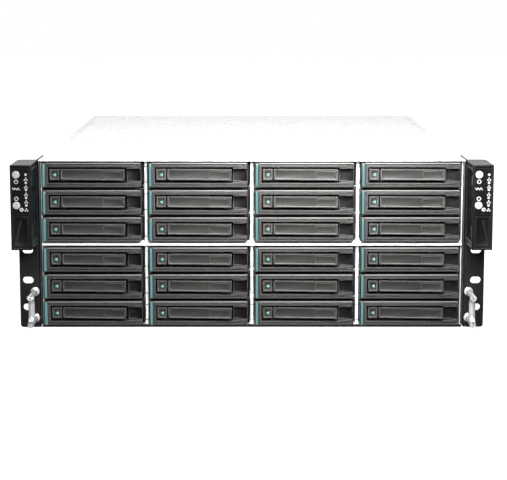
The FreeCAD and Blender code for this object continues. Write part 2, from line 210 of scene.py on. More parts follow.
def twinOf(piece):
    pickOnly(piece)
    bpy.ops.object.duplicate(linked=False)
    return bpy.context.view_layer.objects.active


def copied(piece, name, step=(0, 0, 0)):
    # a copy with its own mesh, moved by a step
    twin = twinOf(piece)
    twin.location = step
    return settle(twin, name)


def scattered(piece, steps):
    # copies at these steps, in place of the piece itself
    copies = [copied(piece, "copy", [distance * mm for distance in step]) for step in steps]
    bpy.data.objects.remove(piece)
    return copies


def flipped(piece, name):
    # the same piece on the other side of the enclosure
    twin = twinOf(piece)
    twin.scale = (-1, 1, 1)
    settle(twin, name)
    editing(twin, "FACE", True)
    bpy.ops.mesh.normals_make_consistent(inside=False)
    return doneEditing(twin)


# Finishes

def newGroup(name, inputs, outputs):
    group = bpy.data.node_groups.new(name, "ShaderNodeTree")
    for label, value in inputs:
        socket = group.interface.new_socket(name=label, in_out="INPUT",
                                            socket_type="NodeSocketFloat")
        socket.default_value = value
    for label in outputs:
        group.interface.new_socket(name=label, in_out="OUTPUT", socket_type="NodeSocketFloat")
    return group, group.nodes.new("NodeGroupInput"), group.nodes.new("NodeGroupOutput")


def addNode(tree, kind, wires=None, **settings):
    # wires: input name or number to a value or an output socket
    node = tree.nodes.new(kind)
    for setting, value in settings.items():
        setattr(node, setting, value)
    for key, value in (wires or {}).items():
        if isinstance(value, bpy.types.NodeSocket):
            tree.links.new(value, node.inputs[key])
        else:
            node.inputs[key].default_value = value
    return node


def scaleFor(tree, size):
    # a noise's scale from the size of its grain
    return addNode(tree, "ShaderNodeMath", {0: 1.0, 1: size}, operation="DIVIDE").outputs[0]


def makeGrain():
    # moulded or powder coated texture, and slow patches of tone
    sizes = [("Grain Size", 0.4 * mm), ("Patch Size", 30 * mm)]
    group, into, out = newGroup("mouldedGrain", sizes, ["Height", "Patch"])
    place = addNode(group, "ShaderNodeTexCoord").outputs["Object"]
    fine = scaleFor(group, into.outputs["Grain Size"])
    slow = scaleFor(group, into.outputs["Patch Size"])
    grain = addNode(group, "ShaderNodeTexNoise",
                    {"Vector": place, "Scale": fine, "Detail": 3.0, "Roughness": 0.6})
    patch = addNode(group, "ShaderNodeTexNoise",
                    {"Vector": place, "Scale": slow, "Detail": 2.0, "Roughness": 0.5})
    group.links.new(grain.outputs["Fac"], out.inputs["Height"])
    group.links.new(patch.outputs["Fac"], out.inputs["Patch"])
    return group


def makeEdges():
    # 1 along edges and corners, 0 on flat faces: where hands and tools rub, and where a painted
    # highlight lights the edges
    group, into, out = newGroup("edgeRubAndHighlight", [("Reach", 0.5 * mm), ("Gain", 4.0)], ["Edge"])
    rounded = addNode(group, "ShaderNodeBevel", {"Radius": into.outputs["Reach"]}, samples=4)
    plain = addNode(group, "ShaderNodeNewGeometry")
    match = addNode(group, "ShaderNodeVectorMath",
                    {0: rounded.outputs["Normal"], 1: plain.outputs["Normal"]},
                    operation="DOT_PRODUCT")
    away = addNode(group, "ShaderNodeMath", {0: 1.0, 1: match.outputs["Value"]},
                   operation="SUBTRACT")
    edge = addNode(group, "ShaderNodeMath", {0: away.outputs[0], 1: into.outputs["Gain"]},
                   operation="MULTIPLY", use_clamp=True)
    group.links.new(edge.outputs[0], out.inputs["Edge"])
    return group


def makeSheet():
    # zinc spangle, and rolling streaks along Y
    sizes = [("Spangle Size", 6 * mm), ("Streak Size", 0.8 * mm)]
    group, into, out = newGroup("rolledSheet", sizes, ["Tone", "Streak"])
    place = addNode(group, "ShaderNodeTexCoord").outputs["Object"]
    spangle = scaleFor(group, into.outputs["Spangle Size"])
    streaks = scaleFor(group, into.outputs["Streak Size"])
    bent = addNode(group, "ShaderNodeTexNoise", {"Vector": place, "Scale": 90.0, "Detail": 2.0})
    nudged = addNode(group, "ShaderNodeVectorMath",
                     {0: bent.outputs["Color"], 1: (0.004, 0.004, 0.004), 2: place},
                     operation="MULTIPLY_ADD")
    cells = addNode(group, "ShaderNodeTexVoronoi", {"Vector": nudged.outputs[0], "Scale": spangle},
                    feature="F1")
    tone = addNode(group, "ShaderNodeSeparateColor", {0: cells.outputs["Color"]})
    drawn = addNode(group, "ShaderNodeMapping", {"Vector": place, "Scale": (1.0, 0.02, 1.0)})
    streak = addNode(group, "ShaderNodeTexNoise",
                     {"Vector": drawn.outputs[0], "Scale": streaks, "Detail": 2.0})
    group.links.new(tone.outputs[0], out.inputs["Tone"])
    group.links.new(streak.outputs["Fac"], out.inputs["Streak"])
    return group


groups = {"grain": makeGrain(), "edges": makeEdges(), "sheet": makeSheet()}


def newMaterial(name):
    material = bpy.data.materials.new(name)
    material.use_nodes = True
    tree = material.node_tree
    return material, tree, tree.nodes["Principled BSDF"]


def useGroup(tree, key, **values):
    node = tree.nodes.new("ShaderNodeGroup")
    node.node_tree = groups[key]
    for label, value in values.items():
        node.inputs[label.replace("_", " ")].default_value = value
    return node


def colourOf(tone):
    # a tone is one number for a neutral grey, or red, green and blue
    return (tone, tone, tone, 1) if isinstance(tone, float) else (*tone, 1)


def tinted(tree, factor, dark, light):
    node = addNode(tree, "ShaderNodeMix", {0: factor}, data_type="RGBA")
    node.inputs["A"].default_value = colourOf(dark)
    node.inputs["B"].default_value = colourOf(light)
    return node.outputs["Result"]


def edgeWearAndHighlight(tree, shader, tone, edges, rubAndHighlight):
    # the tone, with the rubbed tone along its edges: partly wear, partly a painted edge highlight
    worn = addNode(tree, "ShaderNodeMix", {0: edges.outputs["Edge"], 6: tone}, data_type="RGBA")
    worn.inputs["B"].default_value = colourOf(rubAndHighlight)
    tree.links.new(worn.outputs["Result"], shader.inputs["Base Color"])


def roughen(tree, shader, factor, low, high):
    node = addNode(tree, "ShaderNodeMapRange", {"Value": factor, "To Min": low, "To Max": high})
    tree.links.new(node.outputs["Result"], shader.inputs["Roughness"])


def emboss(tree, shader, height, strength, distance):
    node = addNode(tree, "ShaderNodeBump",
                   {"Height": height, "Strength": strength, "Distance": distance * mm})
    tree.links.new(node.outputs[0], shader.inputs["Normal"])


def mouldedFinish(name, dark, light, rubAndHighlight, grainSize, bump, roughness, reach=0.5, gloss=0.5):
    # plastic or powder coat: tone patches, rubbed edges that also carry a painted highlight, and a
    # grain
    material, tree, shader = newMaterial(name)
    grain = useGroup(tree, "grain", Grain_Size=grainSize * mm, Patch_Size=30 * mm)
    edges = useGroup(tree, "edges", Reach=reach * mm, Gain=4.0)
    patch = grain.outputs["Patch"]
    edgeWearAndHighlight(tree, shader, tinted(tree, patch, dark, light), edges, rubAndHighlight)
    roughen(tree, shader, patch, roughness - 0.06, roughness + 0.08)
    emboss(tree, shader, grain.outputs["Height"], bump, 0.1)
    shader.inputs["Specular IOR Level"].default_value = gloss
    return material


def sheetFinish(name, dark, light, roughness, spangle=6.0, bump=0.15, metallic=1.0):
    # plated or bare steel sheet
    material, tree, shader = newMaterial(name)
    sheet = useGroup(tree, "sheet", Spangle_Size=spangle * mm)
    edges = useGroup(tree, "edges", Reach=0.4 * mm, Gain=2.0)
    tone = sheet.outputs["Tone"]
    edgeWearAndHighlight(tree, shader, tinted(tree, tone, dark, light), edges, (0.93, 0.93, 0.92))
    roughen(tree, shader, tone, roughness - 0.05, roughness + 0.07)
    emboss(tree, shader, sheet.outputs["Streak"], bump, 0.05)
    shader.inputs["Metallic"].default_value = metallic
    return material


def glowFinish(name, dark, light, glow, strength, roughness):
    # coloured clear plastic with a lamp behind it
    material, tree, shader = newMaterial(name)
    grain = useGroup(tree, "grain", Grain_Size=0.8 * mm, Patch_Size=12 * mm)
    tree.links.new(tinted(tree, grain.outputs["Patch"], dark, light), shader.inputs["Base Color"])
    emboss(tree, shader, grain.outputs["Height"], 0.1, 0.05)
    shader.inputs["Roughness"].default_value = roughness
    shader.inputs["Coat Weight"].default_value = 0.5
    shader.inputs["Emission Color"].default_value = (*glow, 1)
    shader.inputs["Emission Strength"].default_value = strength
    return material


# darkest and lightest tone, roughness, spangle size, bump, metallic
sheets = {
    "zincSheet": (0.84, (0.93, 0.93, 0.92), 0.42, 5.0, 0.12, 0.2),
    "coverSheet": (0.72, (0.75, 0.75, 0.745), 0.3, 6.0, 0.04, 0.1),
    "moduleSheet": ((0.62, 0.63, 0.63), (0.76, 0.76, 0.75), 0.30, 3.0),
    "railSteel": (0.46, (0.56, 0.56, 0.55), 0.38, 2.0),
    "driveCast": ((0.30, 0.30, 0.31), (0.37, 0.37, 0.38), 0.48, 1.0, 0.4),
    "driveLid": (0.60, 0.68, 0.26, 1.5),
    "screwSteel": ((0.55, 0.55, 0.54), (0.66, 0.66, 0.65), 0.28, 1.0),
    "chrome": ((0.84, 0.85, 0.86), (0.90, 0.90, 0.91), 0.08, 9.0, 0.02),
    "handleChrome": ((0.86, 0.86, 0.87), (0.92, 0.92, 0.93), 0.14, 9.0, 0.02, 0.72),
    "pinBrass": ((0.62, 0.48, 0.22), (0.72, 0.57, 0.29), 0.3, 1.0),
}
# darkest, lightest and rubbed tone (edge wear with a painted edge highlight), grain size, bump,
# roughness, rubbed width, gloss
mouldings = {
    "rackBlack": ((0.0050, 0.0050, 0.0052), (0.0080, 0.0080, 0.0083), 0.04,
                  0.5, 0.35, 0.42, 0.5, 0.22),
    "podBlack": (0.0030, 0.0050, 0.045, 0.3, 0.12, 0.34, 0.6, 0.16),
    "podPanel": (0.0020, 0.0035, 0.03, 0.2, 0.06, 0.38, 0.3, 0.12),
    # a lighter grey that paints light on the pods' side windows and ribs
    "podHighlightGrey": (0.03, 0.045, 0.10, 0.3, 0.1, 0.4, 0.4),
    # its bright rubbed tone paints the highlights along the bezel's edges
    "trayCharcoal": ((0.021, 0.0205, 0.020), (0.028, 0.027, 0.026), (0.20, 0.195, 0.19),
                     0.35, 0.25, 0.44, 0.6, 0.25),
    # a pale grey that paints the highlight along the bezels' top edges
    "paintedHighlightGrey": ((0.12, 0.117, 0.112), (0.16, 0.156, 0.15), (0.22, 0.215, 0.21),
                0.4, 0.15, 0.45, 0.4, 0.3),
    # darker than the bezel plastic: painted shade inside the finger scoop
    "scoopShadeCharcoal": ((0.008, 0.0078, 0.0076), (0.011, 0.0108, 0.0104), (0.15, 0.147, 0.142),
                      0.3, 0.22, 0.5, 0.4, 0.15),
    # its bright rubbed tone paints the highlight along the lever's rim
    "leverCharcoal": ((0.0150, 0.0147, 0.0140), (0.0195, 0.0190, 0.0180), (0.30, 0.29, 0.28),
                      0.35, 0.22, 0.42, 0.6, 0.22),
    "buttonCharcoal": ((0.0155, 0.0152, 0.0145), (0.020, 0.0195, 0.0185), (0.08, 0.078, 0.074),
                       0.3, 0.20, 0.40, 0.5, 0.22),
    "fanBlack": (0.014, 0.022, 0.05, 0.4, 0.1, 0.35),
    "gripBlack": ((0.010, 0.010, 0.0105), (0.016, 0.016, 0.0165), 0.06, 0.5, 0.3, 0.45),
    # near-black for the pivot pins, and for pieces that paint shade: groove liners, tray housings,
    # light pipe holders and the sill
    "blackAndPaintedShade": (0.003, 0.005, 0.01, 0.3, 0.1, 0.6, 0.4, 0.08),
    "printWhite": ((0.34, 0.34, 0.336), (0.40, 0.40, 0.396), 0.60, 0.3, 0.05, 0.35),
    "markGrey": (0.10, 0.14, 0.2, 0.3, 0.05, 0.4),
    "boardGreen": ((0.012, 0.06, 0.025), (0.02, 0.09, 0.04), (0.1, 0.14, 0.08), 0.6, 0.2, 0.35),
}
# darkest and lightest tone, glow, its strength, roughness
glows = {
    "tealPipe": ((0.018, 0.040, 0.040), (0.026, 0.055, 0.055), (0.105, 0.275, 0.28), 0.85, 0.28),
    "ledTeal": ((0.015, 0.07, 0.055), (0.025, 0.09, 0.07), (0.20, 0.66, 0.53), 0.75, 0.2),
}
finishes = {}
for makeFinish, table in ((sheetFinish, sheets), (mouldedFinish, mouldings), (glowFinish, glows)):
    for label, values in table.items():
        finishes[label] = makeFinish(label, *values)
print("finishes made:", len(finishes))


# Bays: everything in a bay is modelled in the upper left one and copied

bayLow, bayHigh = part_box("tray_c1_r1")
trayWidth = 104.3
trayHeight = (bayHigh.z - bayLow.z) / mm
railEnd = (bayHigh.y - bayLow.y) / mm


def bayPoint(x, y, z):
    # from a bezel's lower left front corner
    return bayLow + Vector((x, y, z)) * mm


def bayBlock(name, x0, x1, y0, y1, z0, z1):
    return addBlock(name, bayPoint(x0, y0, z0), bayPoint(x1, y1, z1))


def bayRod(name, radius, start, end, sides=32):
    return addRod(name, radius * mm, bayPoint(*start), bayPoint(*end), sides)


tray = {
    "bezelDepth": 9.0,
    "rimRadius": 0.8,
    "rightGap": 1.9,  # the bezel ends this short of the housing
    "topGap": 0.8,
    "edge": 0.22,
    "housingDepth": 15.0,
    "housingInset": 1.2,
    "overlap": 0.2,  # housing into bezel, and rails into housing
    "grooveLeft": 1.2,
    "grooveSide": 1.2,
    "grooveTop": 1.0,
    "grooveBottom": 2.0,
    "grooveWidth": 1.15,
    "grooveEnds": (0.7, 0.6),  # its width at the left and at the right
    "grooveDepth": 2.2,
    "linerFront": 0.6,
    "stripHeight": 0.8,
    "stripEnds": (1.0, 0.7),
    "stripDepth": 1.6,
    "stripLift": 0.02,
    "recessLeft": 7.0,
    "recessBottom": 4.5,
    "recessTopBar": 4.9,
    "recessDepth": 13.0,
    "scoopLeft": 87.6,
    "scoopBottom": 5.2,
    "scoopTop": 19.7,
    "scoopRise": 1.5,
    "scoopDepth": 8.6,
    "insertLow": 6.5,
    "insertHigh": 19.4,
    "insertEnds": (0.7, 0.1),
    "insertFront": 0.4,
    "insertX": 91.5,
    "insertCentre": -2.66,
    "insertRadius": 11.16,
    "markX": 98.0,
    "markLift": 2.9,
    "markDepth": 1.5,
    "ringRadii": (1.5, 0.75),
    "pointerRadius": 1.1,
    "pointerLift": 1.2,
    "slotCount": 12,
    "slotPitch": 3.8,
    "slotWidth": 2.2,
    "slotHeight": 7.6,
    "slotMiddle": 55.15,
}
rail = {
    "side": 0.15,
    "thickness": 1.2,
    "inset": 0.2,
    "edge": 0.15,
    "screws": [(43.0, 6.5), (86.0, 6.5), (144.0, 6.5)],  # distance from the front, and height
    "screwRadius": 2.6,
    "seatRadius": 3.0,
    "seatDepth": 0.5,
    "opening": (105, 128),
    "openingLift": (12, 5),
}
recessTop = trayHeight - tray["recessTopBar"]
bezelWidth = trayWidth - tray["rightGap"]
bezelTop = trayHeight - tray["topGap"]


def trayBezel():
    t = tray
    bezel = bayBlock("bezel", 0, bezelWidth, 0, t["bezelDepth"], 0, bezelTop)
    back = bayPoint(0, t["bezelDepth"], 0).y
    bevelEdges(bezel, lambda edge: middleOf(edge).y < back - close, t["rimRadius"], 4)
    return bezel


def trayHousing(tools):
    # black frame behind the bezel, open for the recess; its black is partly a painted shade for the
    # gaps round the bezel
    t = tray
    housing = bayBlock("housing", rail["side"], trayWidth - rail["side"],
                       t["bezelDepth"] - t["overlap"], t["housingDepth"],
                       t["housingInset"], trayHeight - t["housingInset"])
    return finished(cut(housing, *tools), "blackAndPaintedShade", 0.3)


def trayGroove():
    # channel round the bezel face, inside its rim and beside the light pipe
    t = tray
    left = pipe["left"] + pipe["width"] + t["grooveLeft"]
    right, top = bezelWidth - t["grooveSide"], bezelTop - t["grooveTop"]
    low, width = t["grooveBottom"], t["grooveWidth"]
    channel = bayBlock("channel", left, right, -over, t["grooveDepth"], low, top)
    inside = bayBlock("inside", left + t["grooveEnds"][0], right - t["grooveEnds"][1],
                      -2 * over, t["grooveDepth"] + over, low + width, top - width)
    return cut(channel, inside)


def trayMarks():
    # a ring and a pointer sunk into the bars' right ends
    t = tray
    x, depth = t["markX"], t["markDepth"]
    high, low = bezelTop - t["markLift"], t["markLift"] + t["pointerLift"]
    outer, inner = t["ringRadii"]
    ring = bayRod("ring", outer, (x, -over, high), (x, depth, high), 28)
    cut(ring, bayRod("core", inner, (x, -2 * over, high), (x, depth + over, high), 24))
    pointer = bayRod("pointer", t["pointerRadius"], (x, -over, low), (x, depth, low), 3)
    return joined("marks", [ring, pointer])


def trayScoop():
    # finger space between the lever's end and the tray's right edge, narrower to the right
    t = tray
    scoop = bayBlock("scoop", t["scoopLeft"] - over / 2, bezelWidth + over, -over,
                     t["scoopDepth"], t["scoopBottom"], t["scoopTop"])
    edge = bayPoint(bezelWidth, 0, 0).x
    low = bayPoint(0, 0, t["scoopBottom"] + 1).z
    slideCorners(scoop, lambda corner: corner.co.x > edge and corner.co.z < low,
                 (0, 0, t["scoopRise"]))
    return scoop


def grooveShadeLiner():
    # black liner at the bottom of the channel and of the two marks: painted shade in these recesses
    t = tray
    pieces = [trayGroove(), trayMarks()]
    for piece in pieces:
        seat = bayBlock("seat", -over, trayWidth, t["linerFront"], t["grooveDepth"] + over,
                        0, trayHeight)
        # what is left of the channel and marks is painted black as their shade
        cut(piece, seat, operation="INTERSECT")
        painted(cut(piece, trayScoop()), "blackAndPaintedShade")
    return pieces


def scoopInsert():
    # hollowed finger pad seated in the finger space, in a darker charcoal that paints the shade
    # inside the scoop
    t = tray
    pad = bayBlock("pad", t["scoopLeft"] + t["insertEnds"][0], bezelWidth - t["insertEnds"][1],
                   t["insertFront"], t["scoopDepth"] + 0.3, t["insertLow"], t["insertHigh"])
    centre = (t["insertX"], t["insertCentre"])
    hollow = bayRod("hollow", t["insertRadius"], (*centre, 0), (*centre, trayHeight), 96)
    return finished(cut(pad, hollow), "scoopShadeCharcoal", 0.25)


def topEdgeHighlightStrip():
    # pale strip along the bezel's upper front edge: a painted highlight where that edge catches the
    # light
    t = tray
    strip = bayBlock("strip", pipe["left"] + pipe["width"] + t["stripEnds"][0],
                     bezelWidth - t["stripEnds"][1], t["stripLift"], t["stripDepth"],
                     bezelTop - t["stripHeight"], bezelTop + t["stripLift"])
    return finished(strip, "paintedHighlightGrey", 0.22, 3)


def traySlots():
    # upright air slots through the recess wall
    t = tray
    middle = (t["recessBottom"] + recessTop) / 2
    slots = []
    for number in range(t["slotCount"]):
        x = t["slotMiddle"] + (number - (t["slotCount"] - 1) / 2) * t["slotPitch"]
        slots.append(bayBlock("slot", x - t["slotWidth"] / 2, x + t["slotWidth"] / 2,
                              t["recessDepth"] - over, t["housingDepth"] + over,
                              middle - t["slotHeight"] / 2, middle + t["slotHeight"] / 2))
    return joined("slots", slots)


def trayFrame():
    t = tray
    bezel = trayBezel()
    recess = bayBlock("recess", t["recessLeft"], t["scoopLeft"], -over, t["recessDepth"],
                      t["recessBottom"], recessTop)
    pipeSlot = bayBlock("pipeSlot", -over, pipe["left"] + pipe["width"] + pipe["slotEnd"],
                        -over, pipe["depth"], pipe["margin"] - 0.5,
                        bezelTop - pipe["margin"] + 0.5)
    scoop = trayScoop()
    backTools = [copied(recess, "recess"), copied(scoop, "scoop"), traySlots()]
    cut(bezel, recess, scoop, pipeSlot, trayGroove(), trayMarks())
    finished(bezel, "trayCharcoal", t["edge"])
    return [bezel, scoopInsert(), topEdgeHighlightStrip(), trayHousing(backTools)] + grooveShadeLiner()


def railScrew(x, y, z, side):
    head = bayRod("screw", rail["screwRadius"], (x, y, z), (x + side * 0.3, y, z), 24)
    socket = bayRod("socket", 1.1, (x + side * 0.15, y, z), (x + side * over, y, z), 6)
    return painted(cut(head, socket), "screwSteel")


def trayRails():
    # a side plate on each side, with sunk screws and an opening
    r = rail
    pieces = []
    for side in (-1, 1):
        outer = r["side"] if side < 0 else trayWidth - r["side"]
        inner = outer - side * r["thickness"]
        x0, x1 = min(outer, inner), max(outer, inner)
        plate = bayBlock("rail", x0, x1, tray["housingDepth"] - tray["overlap"], railEnd,
                         r["inset"], trayHeight - r["inset"])
        for y, z in r["screws"]:
            cut(plate, bayRod("seat", r["seatRadius"], (outer + side * over, y, z),
                              (outer - side * r["seatDepth"], y, z), 32))
            pieces.append(railScrew(outer - side * (r["seatDepth"] - 0.05), y, z, side))
        bottom, top = r["openingLift"]
        cut(plate, bayBlock("opening", x0 - over, x1 + over, *r["opening"],
                            bottom, trayHeight - top))
        pieces.append(finished(plate, "railSteel", r["edge"], 1))
    return pieces


pipe = {
    "left": 1.2,
    "width": 2.6,
    "margin": 0.9,
    "depth": 4.0,
    "front": -0.15,
    "gap": 0.05,
    "slotEnd": 0.9,
    "holderFront": 0.9,
    "bevel": 0.5,
}


def lightPipe():
    # clear strip down the left edge, in a black holder whose black also paints the dark gap beside
    # the strip
    p = pipe
    right, gap, seat = p["left"] + p["width"], p["gap"], 0.5 - p["gap"]
    strip = bayBlock("pipe", p["left"] + gap, right - gap, p["front"], p["depth"],
                     p["margin"] + gap, bezelTop - p["margin"] - gap)
    holder = bayBlock("holder", 0.1, right + p["slotEnd"] - gap, p["holderFront"], p["depth"] + 0.1,
                      p["margin"] - seat, bezelTop - p["margin"] + seat)
    finished(cut(holder, copied(strip, "seat")), "blackAndPaintedShade", 0.15, 1)
    front = bayPoint(0, p["front"], 0).y
    bevelEdges(strip, lambda edge: abs(middleOf(edge).y - front) < close / 2, p["bevel"])
    return [finished(strip, "tealPipe", angle=50), holder]


window = {
    "left": 8.8,
    "width": 9.7,
    "front": 0.8,
    "rim": 1.1,
    "sink": 0.45,
    "lensX": 14.2,
    "lensRadius": 1.6,
    "lensDepth": 1.2,
    "lensDrop": 0.2,
}


def statusWindow():
    # framed window with a three-cornered lamp
    w = window
    plate = bayBlock("plate", w["left"], w["left"] + w["width"], w["front"], tray["recessDepth"],
                     lever["bottom"], lever["top"])
    insetFaces(plate, facesFront, w["rim"], w["sink"])
    finished(plate, "leverCharcoal", 0.2)
    z = (lever["bottom"] + lever["top"]) / 2 - w["lensDrop"]
    deselectAll()
    bpy.ops.mesh.primitive_cylinder_add(vertices=3, radius=w["lensRadius"] * mm * 1.25,
                                        depth=w["lensDepth"] * mm,
                                        location=bayPoint(w["lensX"], w["front"] + 0.4, z))
    lens = bpy.context.object
    lens.rotation_euler = (math.radians(90), math.radians(-90), 0)
    settle(lens, "lens")
    applied(lens, "BEVEL", width=0.5 * mm, segments=3, limit_method="NONE", use_clamp_overlap=True)
    return [plate, finished(lens, "ledTeal", angle=60)]


lever = {
    "left": 20.0,
    "right": 85.8,
    "bottom": 7.7,
    "top": 18.9,
    "front": 1.0,
    "back": 8.2,
    "bulge": 4.0,  # how far its free end stands forward
    "tipDepth": 8.5,
    "heelRadius": 3.5,
    "rim": 1.15,
    "panelSink": 0.4,
    "edge": 0.22,
    "wall": 1.8,
    "hollowStart": 4.8,
    "hollowEnd": 2.0,
    "hollowLift": 1.0,
    "ribs": (36.0, 46.0, 56.0),
    "ribWidth": 1.0,
    "pivotX": 24.0,
    "pivotY": 4.6,
    "pinRadius": 1.2,
    "buttonLeft": 63.1,
    "buttonRight": 83.1,
    "buttonBottom": 9.6,
    "buttonTop": 17.0,
    "buttonGap": 0.3,
    "buttonRim": 0.7,
    "buttonSink": 0.12,
}


def alongLever(x):
    # 0 at the pivot and 1 at the free end
    return max(0.0, x - lever["pivotX"]) / (lever["right"] - lever["pivotX"])


def leverFront(x):
    # how far back the lever's face stands at a distance along it
    return lever["front"] - lever["bulge"] * alongLever(x)


def leverBack(x):
    tip = lever["front"] - lever["bulge"] + lever["tipDepth"]
    return lever["back"] + (tip - lever["back"]) * alongLever(x)


def wedge(name, x0, x1, front, back, z0, z1):
    # block whose front and back follow two lines along X
    block = bayBlock(name, x0, x1, front(x0), back(x0), z0, z1)
    right = bayPoint(x1, 0, 0).x - close
    middle = bayPoint(0, (front(x0) + back(x0)) / 2, 0).y
    slideCorners(block, lambda corner: corner.co.x > right and corner.co.y < middle,
                 (0, front(x1) - front(x0), 0))
    slideCorners(block, lambda corner: corner.co.x > right and corner.co.y > middle - 1 * mm,
                 (0, back(x1) - back(x0), 0))
    return block


def leverShell():
    v = lever
    shell = bayBlock("shell", v["left"], v["right"], v["front"], v["back"], v["bottom"], v["top"])
    editing(shell, "FACE", True)
    bpy.ops.mesh.bisect(plane_co=bayPoint(v["pivotX"], 0, 0), plane_no=(1, 0, 0))
    doneEditing(shell)
    right = bayPoint(v["right"], 0, 0).x - close
    middle = bayPoint(0, (v["front"] + v["back"]) / 2, 0).y
    slideCorners(shell, lambda corner: corner.co.x > right and corner.co.y < middle,
                 (0, -v["bulge"], 0))
    slideCorners(shell, lambda corner: corner.co.x > right and corner.co.y > middle,
                 (0, leverBack(v["right"]) - v["back"], 0))
    heel = bayPoint(v["left"], v["back"], 0)
    bevelEdges(shell, lambda edge: (middleOf(edge).xy - heel.xy).length < close, v["heelRadius"], 6)
    insetFaces(shell, facesFront, v["rim"], v["panelSink"])
    lift = v["hollowLift"]
    hollow = wedge("hollow", v["pivotX"] + v["hollowStart"], v["right"] - v["hollowEnd"],
                   lambda x: leverFront(x) + v["wall"], lambda x: leverBack(x) + 3 * over,
                   v["bottom"] + lift, v["top"] - lift)
    opening = bayBlock("opening", v["buttonLeft"], v["buttonRight"], -5, 4,
                       v["buttonBottom"], v["buttonTop"])
    return finished(cut(shell, hollow, opening), "leverCharcoal", v["edge"])


def leverRibs():
    v = lever
    lift = v["hollowLift"] - 0.2
    return [painted(wedge("rib", x, x + v["ribWidth"], lambda at: leverFront(at) + v["wall"] - 0.2,
                          lambda at: leverBack(at) - 0.6, v["bottom"] + lift, v["top"] - lift),
                    "leverCharcoal") for x in v["ribs"]]


def releaseButton():
    v = lever
    gap = v["buttonGap"]
    button = wedge("button", v["buttonLeft"] + gap, v["buttonRight"] - gap,
                   lambda x: leverFront(x) + v["panelSink"] - 0.1, lambda x: leverFront(x) + 3.2,
                   v["buttonBottom"] + gap, v["buttonTop"] - gap)
    insetFaces(button, facesFront, v["buttonRim"], v["buttonSink"])
    return finished(button, "buttonCharcoal", 0.15)


def pivotPin():
    place = (lever["pivotX"], lever["pivotY"])
    pin = bayRod("pin", lever["pinRadius"], (*place, tray["recessBottom"] + 0.1),
                 (*place, recessTop - 0.1), 24)
    return finished(pin, "blackAndPaintedShade")


drive = {
    "side": 1.35,
    "width": 101.6,
    "front": 26.0,
    "back": 173.0,
    "low": 0.05,
    "high": 26.15,
    "edge": 0.6,
    "lidStep": 1.1,
    "shoulder": 3.2,
    "hub": (50, 100),
    "hubRadius": 16.0,
    "arm": (70, 8, 128, 162),  # from the left, from the right, start and end
    "armCorner": 6,
    "sunk": 0.35,
    "socket": (45, 3, 5, 6),  # start and end from the right, depth and height
    "screws": [(8, 34), (94, 34), (8, 100), (94, 100), (8, 165), (94, 165), (50, 100)],
    "screwRadius": 2.2,
}


def diskDrive():
    d = drive
    left, right, top = d["side"], d["side"] + d["width"], d["high"]
    body = bayBlock("body", left, right, d["front"], d["back"], d["low"], top - d["lidStep"])
    start, end, depth, height = d["socket"]
    cut(body, bayBlock("socket", right - start, right - end, d["back"] - depth, d["back"] + over,
                       -over, d["low"] + height))
    finished(body, "driveCast", d["edge"], 3)
    shoulder = d["shoulder"]
    lid = bayBlock("lid", left + shoulder, right - shoulder, d["front"] + shoulder,
                   d["back"] - shoulder, top - d["lidStep"] - 0.2, top)
    hubX, hubY = d["hub"]
    hub = bayRod("hub", d["hubRadius"], (left + hubX, hubY, top - d["sunk"]),
                 (left + hubX, hubY, top + over), 48)
    armLeft, armRight, armStart, armEnd = d["arm"]
    arm = bayBlock("arm", left + armLeft, right - armRight, armStart, armEnd,
                   top - d["sunk"], top + over)
    finished(cut(lid, hub, soften(arm, d["armCorner"], 5)), "driveLid", 0.25)
    pieces = [body, lid]
    for x, y in d["screws"]:
        head = bayRod("head", d["screwRadius"], (left + x, y, top - 0.9),
                      (left + x, y, top - 0.15), 20)
        star = bayRod("star", 0.9, (left + x, y, top - 0.6), (left + x, y, top + over), 6)
        pieces.append(painted(cut(head, star), "screwSteel"))
    return joined("diskDrive_c1_r1", pieces)


def dressBays():
    masterTray = joined("dressedTray_c1_r1",
                        trayFrame() + trayRails() + lightPipe() + statusWindow())
    print("tray modelled")
    masterDrive = diskDrive()
    print("drive modelled")
    masterLever = joined("dressedLever_c1_r1",
                         [leverShell(), releaseButton(), pivotPin()] + leverRibs())
    print("lever modelled")
    for column in columns:
        for row in rows:
            bay = f"c{column}_r{row}"
            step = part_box(f"tray_{bay}")[0] - bayLow
            if step.length < close:
                trayPiece, drivePiece, leverPiece = masterTray, masterDrive, masterLever
            else:
                trayPiece = copied(masterTray, f"dressedTray_{bay}", step)
                drivePiece = copied(masterDrive, f"diskDrive_{bay}", step)
                leverPiece = copied(masterLever, f"dressedLever_{bay}", step)
            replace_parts(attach(trayPiece, f"tray_{bay}"), f"tray_{bay}")
            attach(drivePiece, f"tray_{bay}")
            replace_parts(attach(leverPiece, f"lever_{bay}"), f"lever_{bay}")
    print("bays dressed")


# Sheet metal

def metalwork():
    for node, finish in (("chassis_base", "zincSheet"), ("rack_ears", "rackBlack"),
                         ("backplane", "boardGreen")):
        painted(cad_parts[node], finish)
    print("metalwork finished")


cage = {
    "width": 437.0,
    "sheet": 1.0,
    "bend": 0.9,
    "divider": 3.1,
    "dividerOffset": 2.65,  # from a tray's left edge to the middle of the upright beside it
    "slotHeights": (4.5, 20.6),
    "slotSize": (2.5, 1.2),
    "slotDepth": 8,
    "slotCorner": 0.4,
    "shelf": 3.2,
    "shelfFold": 10,
    "lipDrops": (4.1, 1.7),
    "lipDepth": 2,
    "ledge": 2.0,
    "ledgeThickness": 0.8,
    "ledgeStart": 7.0,
    "overlap": 0.2,
    "clearance": 0.3,  # under the trays
}
cageLow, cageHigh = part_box("drive_cage")
wallLow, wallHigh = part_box("chassis_base")


def rowBase(row):
    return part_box(f"tray_c1_r{row}")[0].z


